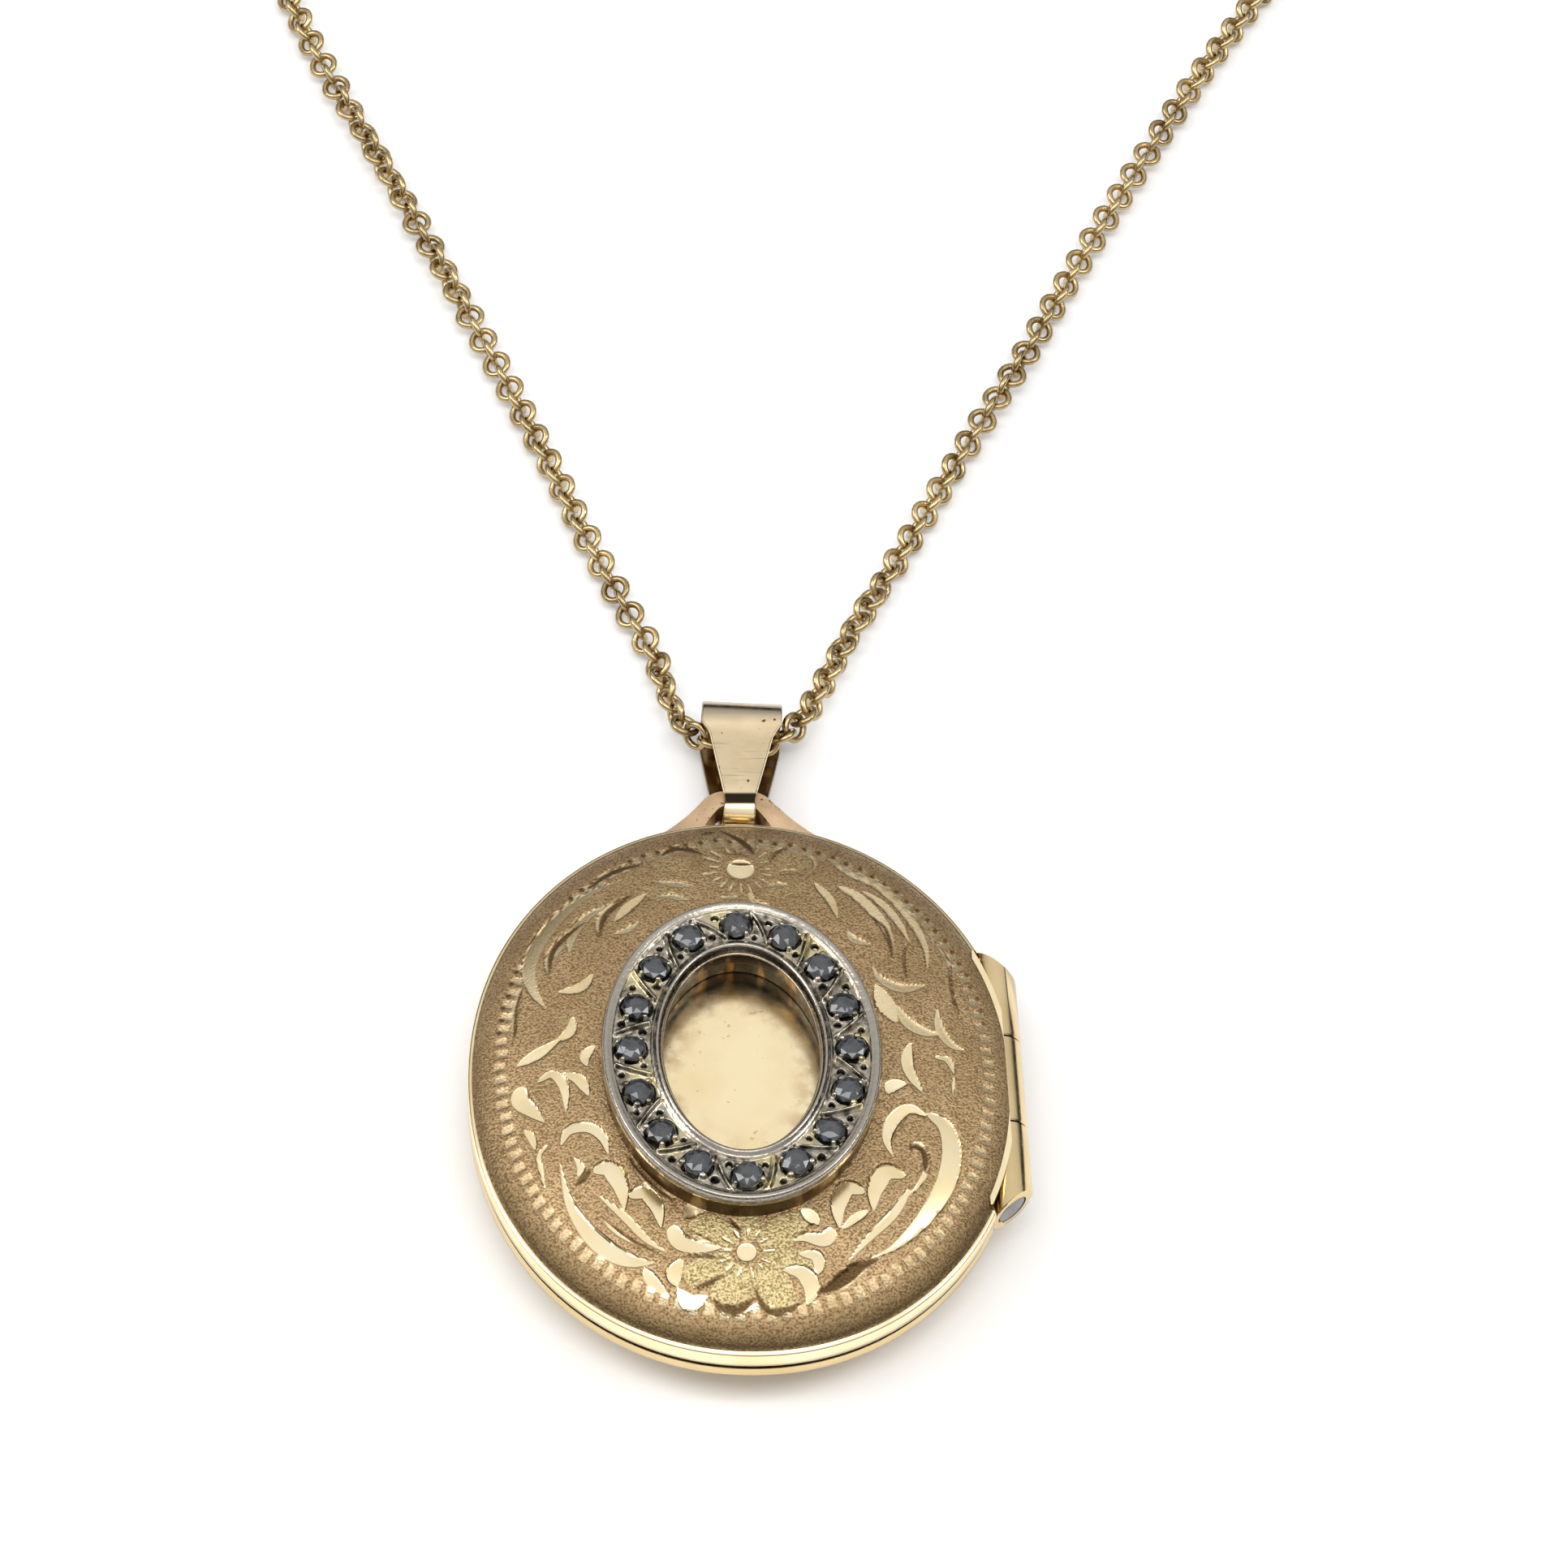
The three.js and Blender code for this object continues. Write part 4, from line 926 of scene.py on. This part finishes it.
# ---- Front cover -------------------------------------------------------------------------------
AROUND_DOME = 860
DOME_ROWS = 86
MOUTH_INSET = 0.6  # from the stones' oval to the hole under the setting
MOUTH_THICKNESS = 0.45
DOME_INNER_FOOT = 3.9
HINGE_CLEARANCE = 0.1


def front_cover():
    """The whole pressed cover: engraved dome, polished rim, and the plain inside."""
    angle = full_turn(AROUND_DOME)
    hole = SETTING - MOUTH_INSET
    x_in = SETTING_CENTRE[0] + hole[0] * np.cos(angle)
    y_in = SETTING_CENTRE[1] + hole[1] * np.sin(angle)
    x_out, y_out = cover_points(angle, DOME_RADIUS)
    beyond = x_out > HINGE_SIDE_EDGE
    stop = np.ones(AROUND_DOME)
    stop[beyond] = (HINGE_SIDE_EDGE - x_in[beyond]) / (x_out - x_in)[beyond]
    x_out, y_out = x_in + (x_out - x_in) * stop, y_in + (y_out - y_in) * stop
    share = np.linspace(0, 1, DOME_ROWS) ** 0.94
    x = x_in[:, None] + (x_out - x_in)[:, None] * share
    y = y_in[:, None] + (y_out - y_in)[:, None] * share
    depth, bright, petal, dark, tone = engrave(x, y)
    z = dome_height(cover_radius(x, y)) - depth
    top = np.stack([x, y, z], axis=2)

    hinge = (x_out > 0) & (np.abs(y_out) < HINGE_HALF_LENGTH + 0.45)
    over_barrel = HINGE_Z + BARREL_RADIUS + HINGE_CLEARANCE
    trench = HINGE_X - BARREL_RADIUS - HINGE_CLEARANCE
    rim = [(12.46, 3.93), (12.56, 3.9), (HALF_WIDTH, 3.82), (HALF_WIDTH, 3.4), (HALF_WIDTH, 3.05),
           (12.55, 2.98), (12.05, 2.98), (DOME_INNER_RADIUS, 3.1)]
    rows = [at_height(*cover_points(angle, radius), height) for radius, height in rim]
    # Above the barrel the rim is a lid instead: (share of the way in to the trench, height).
    lid = [(0.0, over_barrel), (0.0, over_barrel), (0.3, over_barrel), (0.6, over_barrel),
           (1.0, over_barrel), (1.0, 3.6), (1.0, 2.98), (1.12, 2.98)]
    for row, (inwards, height) in zip(rows, lid):
        lx = x_out + (np.minimum(trench, x_out) - x_out) * min(inwards, 1) - max(inwards - 1, 0) * 2
        row[hinge, 0] = lx[hinge]
        row[hinge, 1] = y_out[hinge]
        row[hinge, 2] = height
    for share in (1, 0.97, 0.9, 0.8, 0.7, 0.6):
        radius = DOME_INNER_RADIUS * share
        height = dome_height(radius, DOME_INNER_RADIUS, DOME_INNER_RISE, DOME_INNER_FOOT)
        rx, ry = cover_points(angle, radius)
        rx = np.where(hinge, np.minimum(rx, trench - 0.24 - (DOME_INNER_RADIUS - radius) * 0.2), rx)
        rows.append(at_height(rx, ry, height))
    rows.append(at_height(x_in, y_in, dome_height(cover_radius(x_in, y_in)) - MOUTH_THICKNESS))
    under = np.stack(rows, axis=1)
    points, faces = loft(np.concatenate([top, under], axis=1))
    piece = make_piece("front_cover_engraved", points, faces, "engraved_gold", "front_cover")
    plain = np.zeros((AROUND_DOME, under.shape[1]))
    point_values(piece, "bright", np.concatenate([bright, plain + 1], 1))
    point_values(piece, "tone", np.concatenate([tone, plain + 1], 1))
    point_values(piece, "petal", np.concatenate([petal, plain], 1))
    point_values(piece, "groove", np.concatenate([dark, plain], 1))
    near_edge = np.clip((cover_radius(x, y) / DOME_RADIUS - 0.88) / 0.1, 0, 1)
    toward_foot = np.clip(0.45 - y / 16, 0.25, 1)  # painted shade: the edge is darkest at the foot of the locket
    point_values(piece, "edge", np.concatenate([near_edge * toward_foot, plain], 1))
    piece.data.set_sharp_from_angle(angle=math.radians(50))
    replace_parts(piece, "front_cover")
    return piece


front_cover()


# ---- Bezel: collar, plate, setting ring and stones ---------------------------------------------
COLLAR_HALF_WIDTH = 1.3
PLATE_INSET = 0.64  # from the stones' oval in to the plate's edge
PLATE_THICKNESS = 0.28
COLLAR_AROUND = 240


def bezel_collar():
    """The well's wall: painted shade, nearly black, on its inside, and on its outside under the ring."""
    foot = PLATE_TOP + 0.04
    profile = rounded_profile([
        (COLLAR_HALF_WIDTH, 5.0), (COLLAR_HALF_WIDTH, COLLAR_TOP), (-COLLAR_HALF_WIDTH, COLLAR_TOP),
        (-COLLAR_HALF_WIDTH, 5.6), (-1.15, 5.5), (-1.15, foot), (-PLATE_INSET, foot), (-PLATE_INSET, 5.0),
    ], 0.06)
    middle, normal, _ = setting_points(COLLAR_AROUND)
    rows = [at_height(*(middle + normal * offset).T, z) for offset, z in profile]
    points, faces = loft(np.stack(rows, 1))
    piece = make_piece("bezel_wall", points, faces, "shaded_wall_gold", "front_cover")
    offsets = profile[:, 0]
    # painted shade: full on the wall's inside, 0.85 on its outside under the ring
    wall_shade = np.where(offsets < -0.9, 1.0, np.where(offsets > 1.0, 0.85, 0.0))
    point_values(piece, "wall_shade", np.broadcast_to(wall_shade, (COLLAR_AROUND, len(profile))))
    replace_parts(sharpen(piece), "bezel_collar")


def well_plate():
    """The oval plate, a little dished."""
    tiny_hole = 0.0005
    top_shares = np.linspace(1, tiny_hole, 26)
    shares = np.concatenate([top_shares, (tiny_hole, 1)])
    depths = np.concatenate([0.06 * (1 - top_shares ** 2), (PLATE_THICKNESS, PLATE_THICKNESS)])
    rim, _, _ = setting_points(160, -PLATE_INSET)
    rim = rim - SETTING_CENTRE
    rows = []
    for share, depth in zip(shares, depths):
        rows.append(at_height(*(rim * share + SETTING_CENTRE).T, PLATE_TOP - depth))
    points, faces = loft(np.stack(rows, 1))
    piece = make_piece("well_plate_polished", points, faces, "plate", "front_cover")
    stain = np.clip((np.concatenate([top_shares, (0, 0)]) - 0.5) * 2.4, 0, 1)
    point_values(piece, "edge", np.broadcast_to(stain, (len(rim), len(shares))))
    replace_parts(sharpen(piece, 50), "well_plate")


RING_AROUND = 820
RING_ACROSS = 62
RING_INNER = -1.45
RING_OUTER = 1.38
BED_DEPTH = 0.1
SEAT_DEPTH = 0.42
RIDGE_HEIGHT = 0.24
PIT_DEPTH = 0.3
GRAIN_BEARINGS = (38, 142, 218, 322)  # degrees round each stone
GRAIN_HEIGHT = 0.17
GRAIN_DISTANCE = 0.68  # from the stone's middle


def ring_surface(offset):
    """Height of the setting ring's plain top: raised lips at both edges, a bed for stones between."""
    inner_lip = 0.2 * np.exp(-((offset + 1.17) / 0.16) ** 2)
    outer_lip = 0.1 * np.exp(-((offset - 1.16) / 0.2) ** 2)
    inner_fall = -0.35 * np.clip((-1.28 - offset) / 0.17, 0, 1) ** 2
    outer_fall = -0.3 * np.clip((offset - 1.24) / 0.14, 0, 1) ** 2
    return RING_FACE + inner_lip + outer_lip + inner_fall + outer_fall


def bezel_ring():
    """Stone seats, grains pushed over the stones, slanting ridges and drill pits between them."""
    middle, normal, length = setting_points(RING_AROUND)
    travel = np.arange(RING_AROUND) / RING_AROUND * length
    offset = np.linspace(RING_INNER, RING_OUTER, RING_ACROSS)
    s, q = np.meshgrid(travel, offset, indexing="ij")  # along the ring and across it
    height = ring_surface(q)
    # 'pit' marks the metal painted nearly black as shade: round the seats, beside the ridges and in the
    # drill holes
    pit = np.zeros_like(s)
    pitch = length / STONE_COUNT
    bed = (np.abs(q + 0.02) < 0.86) * 1.0
    height = height - BED_DEPTH * bed
    for k in range(STONE_COUNT):
        away = (s - k * pitch + length / 2) % length - length / 2
        distance = np.hypot(away, q)
        seat = np.clip((STONE_RADIUS + 0.06 - distance) / 0.08, 0, 1)
        height = height - SEAT_DEPTH * seat
        pit = np.maximum(pit, np.clip(1 - np.abs(distance - 0.72) / 0.09, 0, 1) * 0.75)
        between = away - pitch / 2
        lean = random.choice([-1, 1]) * random.uniform(0.45, 0.8)
        from_ridge = between - q * lean
        ridge = np.exp(-(from_ridge / 0.1) ** 2) * (np.abs(q) < 0.8)
        height = height + RIDGE_HEIGHT * ridge * (distance > 0.74)
        valley = np.exp(-((from_ridge - 0.2) / 0.07) ** 2) * (np.abs(q) < 0.75)
        pit = np.maximum(pit, 0.75 * valley * (distance > 0.78))
        for side in (-1, 1):
            hole_x = random.normal(0, 0.05) - side * 0.2 * np.sign(lean)
            hole_y = side * random.uniform(0.42, 0.6)
            hole = np.hypot(between - hole_x, q - hole_y) / random.uniform(0.14, 0.2)
            hollow = np.clip((1 - hole) * 3, 0, 1)
            height = height - PIT_DEPTH * hollow
            pit = np.maximum(pit, np.clip((1.12 - hole) * 3.5, 0, 1))
        for turn in GRAIN_BEARINGS:
            bearing = math.radians(turn + random.normal(0, 7))
            grain_x, grain_y = GRAIN_DISTANCE * math.cos(bearing), GRAIN_DISTANCE * math.sin(bearing)
            grain = np.hypot(away - grain_x, q - grain_y) / random.uniform(0.13, 0.19)
            bead = np.sqrt(np.clip(1 - grain ** 2, 0, 1))
            height = np.where(bead > 0, np.maximum(height, RING_FACE - 0.02 + GRAIN_HEIGHT * bead), height)
            pit = np.where(bead > 0.2, 0, pit)
    height = height + 0.012 * np.sin(s * 9.1 + q * 7) * bed  # faint tool waves
    xy = middle[:, None, :] + normal[:, None, :] * q[:, :, None]
    top = np.concatenate([xy, height[:, :, None]], 2)
    seam = COLLAR_TOP + 0.04
    outline = [(RING_OUTER, RING_FACE - 0.3), (RING_OUTER, seam), (-COLLAR_HALF_WIDTH, seam),
               (RING_INNER, RING_FACE - 0.2)]
    bottom = [at_height(*(middle + normal * edge).T, z) for edge, z in outline]
    points, faces = loft(np.concatenate([top, np.stack(bottom, 1)], 1))
    piece = make_piece("bezel_ring_pave", points, faces, "white_gold", "front_cover")
    padding = np.zeros((RING_AROUND, len(outline)))
    polish = np.clip((np.abs(q + 0.02) - 0.84) * 12, 0, 1)
    point_values(piece, "pit", np.concatenate([pit, padding], 1))
    point_values(piece, "polish", np.concatenate([polish, padding + 1], 1))
    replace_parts(piece, "bezel_ring")


def stone_mesh():
    """A small cut stone: cut-off point, girdle, eight crown facets broken once, and a table."""
    rings = [(0.25, -0.22), (STONE_RADIUS, -0.05), (STONE_RADIUS, 0.02), (0.56, 0.16), (0.3, 0.26)]
    sides = 8
    points = []
    for level, (radius, z) in enumerate(rings):
        for k in range(sides):
            angle = 2 * math.pi * (k + (0.5 if level == 3 else 0)) / sides
            points.append((radius * math.cos(angle), radius * math.sin(angle), z))
    faces = []
    for level in range(len(rings) - 1):
        below, above = level * sides, (level + 1) * sides
        for k in range(sides):
            k_next = (k + 1) % sides
            a, b, c, d = below + k, below + k_next, above + k_next, above + k
            if level < 2:
                faces.append((a, b, c, d))
            elif level == 2:
                faces += [(a, b, d), (b, c, d)]
            else:
                faces += [(a, b, c), (a, c, d)]
    faces.append(tuple(range(len(points) - sides, len(points))))
    faces.append(tuple(reversed(range(sides))))
    return np.array(points), faces


def stones():
    """Each stone sits turned and tilted a little its own way."""
    tilt_spread = 0.09
    places, _, _ = setting_points(STONE_COUNT)
    points, faces = stone_mesh()
    for k, (x, y) in enumerate(places):
        spin = Matrix.Rotation(random.uniform(0, math.pi), 3, "Z")
        tilt_x = Matrix.Rotation(random.normal(0, tilt_spread), 3, "X")
        tilt_y = Matrix.Rotation(random.normal(0, tilt_spread), 3, "Y")
        rotation = np.array(tilt_x @ tilt_y @ spin)
        placed = points @ rotation.T + (x, y, RING_FACE + 0.02)
        node = f"stone_{k + 1:02d}"
        piece = make_piece(node + "_cut", placed, faces, "dark_stone", "front_cover", smooth=False)
        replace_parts(piece, node)


bezel_collar()
well_plate()
bezel_ring()
stones()


# ---- Back cover --------------------------------------------------------------------------------
def back_cover():
    """The plain pressed back, with its rim cut away beside the hinge's barrel.

    Its outline is (radius, height), from the flat's middle outwards and back along the inside.
    """
    tiny_hole = 0.002
    outside = [(tiny_hole, 0), (4.0, 0), (7.3, 0), (8.3, 0.09), (9.2, 0.26), (10.1, 0.53), (10.85, 0.85),
               (11.45, 1.2), (11.9, 1.55)]
    rim = [(12.2, 1.85), (12.4, 2.08), (12.56, 2.2), (HALF_WIDTH, 2.28), (HALF_WIDTH, 2.7), (12.55, 2.78),
           (11.9, 2.78), (11.9, 2.35), (11.35, 1.95), (10.4, 1.32)]
    cut_rim = [(11.95, 1.7), (11.6, 1.95), (11.25, 2.25), (10.95, 2.5), (10.8, 2.7), (10.78, 2.78),
               (10.74, 2.78), (10.74, 2.35), (10.7, 1.95), (10.2, 1.32)]
    inside = [(9.0, 0.75), (7.3, 0.5), (tiny_hole, 0.5)]
    plain = outside + rim + inside
    cut = outside + cut_rim + inside
    angle = full_turn(288)
    _, edge_y = cover_points(angle, HALF_WIDTH)
    hinge = (np.cos(angle) > 0) & (np.abs(edge_y) < HINGE_HALF_LENGTH + 0.5)
    rows = []
    for (radius, z), (cut_radius, cut_z) in zip(plain, cut):
        x, y = cover_points(angle, radius)
        if radius > outside[-1][0]:
            x = np.where(hinge, np.minimum(cover_points(angle, cut_radius)[0], cut_radius), x)
        rows.append(at_height(x, y, np.where(hinge, cut_z, z)))
    points, faces = loft(np.stack(rows, 1))
    piece = make_piece("back_cover_pressed", points, faces, "bright_gold", "locket_back")
    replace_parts(sharpen(piece, 40), "back_cover")


# ---- Hinge -------------------------------------------------------------------------------------
PIN_RADIUS = 0.61
KNUCKLE_GAP = 0.04  # half the gap between two knuckles


def barrel(name, node, body, low, high, slant_low=0.0, slant_high=0.0, radii=(BARREL_BORE, BARREL_RADIUS),
           material="bright_gold"):
    """A knuckle or the pin. Its ends are cut square or on the slant of the cover's outline."""
    inner, outer = radii
    bevel = 0.06
    outline = [(outer - bevel, 0, 0), (outer, bevel, 0), (outer, -bevel, 1), (outer - bevel, 0, 1),
               (inner, 0, 1), (inner, 0, 0)]
    angle = full_turn(48)
    rows = []
    for radius, inset, end in outline:
        x, z = radius * np.cos(angle), radius * np.sin(angle)
        base, slant = (high, slant_high) if end else (low, slant_low)
        rows.append(np.stack([HINGE_X + x, base + inset + slant * x, HINGE_Z + z], 1))
    points, faces = loft(np.stack(rows, 1))
    piece = make_piece(name, points, faces, material, body)
    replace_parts(sharpen(piece, 40), node)


def hinge():
    """Three knuckles on a pin. The upper and lower ones belong to the back, the middle to the cover."""
    end = HINGE_HALF_LENGTH
    middle_end, outer_start = KNUCKLE_SEAM - KNUCKLE_GAP, KNUCKLE_SEAM + KNUCKLE_GAP
    barrel("hinge_barrel_upper", "hinge_knuckle_upper", "locket_back", outer_start, end, slant_high=-MITRE)
    barrel("hinge_barrel_lower", "hinge_knuckle_lower", "locket_back", -end, -outer_start, slant_low=MITRE)
    barrel("hinge_barrel_middle", "hinge_knuckle_middle", "front_cover", -middle_end, middle_end)
    barrel("hinge_pin_wire", "hinge_pin", "locket_back", -end, end, MITRE, -MITRE, (0.02, PIN_RADIUS),
           "grey_steel")


back_cover()
hinge()


# ---- Parts that keep their CAD shape -----------------------------------------------------------
def dress_node(node, material, bevel=0.0, segments=3, angle=35):
    """A CAD node with its look, and rounded edges where a bevel is given."""
    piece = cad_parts[node]
    piece.data.materials.clear()
    piece.data.materials.append(MATERIALS[material])
    piece.data.shade_smooth()
    piece.data.set_sharp_from_angle(angle=math.radians(angle))
    if bevel:
        weld = piece.modifiers.new("weld", "WELD")
        weld.merge_threshold = 1e-6
        round_off = piece.modifiers.new("round_off", "BEVEL")
        round_off.width = bevel * MM
        round_off.segments = segments
        round_off.limit_method = "ANGLE"
        round_off.angle_limit = math.radians(angle)


dress_node("hanging_loop", "rose_gold", bevel=0.22, segments=4)
dress_node("bail", "bail_gold", bevel=0.08, angle=50)
dress_node("clasp_body", "bright_gold")
dress_node("clasp_bolt", "bright_gold")
dress_node("clasp_spring", "grey_steel")
dress_node("coil_tie", "tie_paper", bevel=0.04)
for inside_node in ("catch_rim", "back_photo_frame", "front_photo_frame"):
    dress_node(inside_node, "polished_gold", bevel=0.03, segments=2)
for window_node in ("back_photo_window", "front_photo_window"):
    dress_node(window_node, "clear_window")


# ---- Floor and light ---------------------------------------------------------------------------
FLOOR_REACH = 1.5  # this section's sizes are in metres
FLOOR_DROP = 0.0001


def make_floor():
    """A pale matte floor, a hair below the locket's back."""
    look = Look("floor", metallic=0.0)
    look.surface("Base Color", (0.96, 0.96, 0.96))
    look.surface("Roughness", 0.7)
    mesh = bpy.data.meshes.new("floor")
    reach = FLOOR_REACH
    corners = [(-reach, -reach, 0), (reach, -reach, 0), (reach, reach, 0), (-reach, reach, 0)]
    mesh.from_pydata(corners, [], [(0, 1, 2, 3)])
    mesh.materials.append(look.material)
    floor = bpy.data.objects.new("floor", mesh)
    floor.location.z = -FLOOR_DROP
    bpy.context.scene.collection.objects.link(floor)


def soft_light(name, place, aim, size, power):
    """A rectangular softbox."""
    data = bpy.data.lights.new(name, "AREA")
    data.shape = "RECTANGLE"
    data.size, data.size_y = size
    data.energy = power
    light = bpy.data.objects.new(name, data)
    light.location = place
    light.rotation_euler = (Vector(aim) - Vector(place)).to_track_quat("-Z", "Y").to_euler()
    bpy.context.scene.collection.objects.link(light)


def make_sky():
    """A white sky overhead that falls off to dark near the horizon, for contrast in the metal."""
    world = bpy.data.worlds.new("studio")
    world.use_nodes = True
    nodes, links = world.node_tree.nodes, world.node_tree.links
    where = nodes.new("ShaderNodeTexCoord")
    split = nodes.new("ShaderNodeSeparateXYZ")
    links.new(where.outputs["Generated"], split.inputs["Vector"])
    ramp = nodes.new("ShaderNodeValToRGB")
    # Each stop is (height, brightness), and below 0.27 lies a dark horizon.
    stops = [(0.0, 0.03), (0.27, 0.03), (0.45, 0.62), (0.6, 0.8), (0.8, 0.92), (1.0, 1.0)]
    while len(ramp.color_ramp.elements) < len(stops):
        ramp.color_ramp.elements.new(0.5)
    for element, (place, level) in zip(ramp.color_ramp.elements, stops):
        element.position = place
        element.color = (level, level, level, 1)
    links.new(split.outputs["Z"], ramp.inputs["Fac"])
    links.new(ramp.outputs["Color"], nodes["Background"].inputs["Color"])
    bpy.context.scene.world = world


def make_light():
    """The sky and three softboxes."""
    make_sky()
    soft_light("left_softbox", (-0.5, 0.05, 0.45), (0, 0, 0), (0.3, 0.4), 1.5)
    soft_light("right_softbox", (0.5, 0.0, 0.5), (0, 0.02, 0), (0.2, 0.3), 0.9)
    soft_light("overhead_softbox", (0.0, -0.15, 0.65), (0, 0, 0), (0.5, 0.3), 1.3)


make_floor()
make_light()
bpy.context.scene.view_settings.view_transform = "Standard"
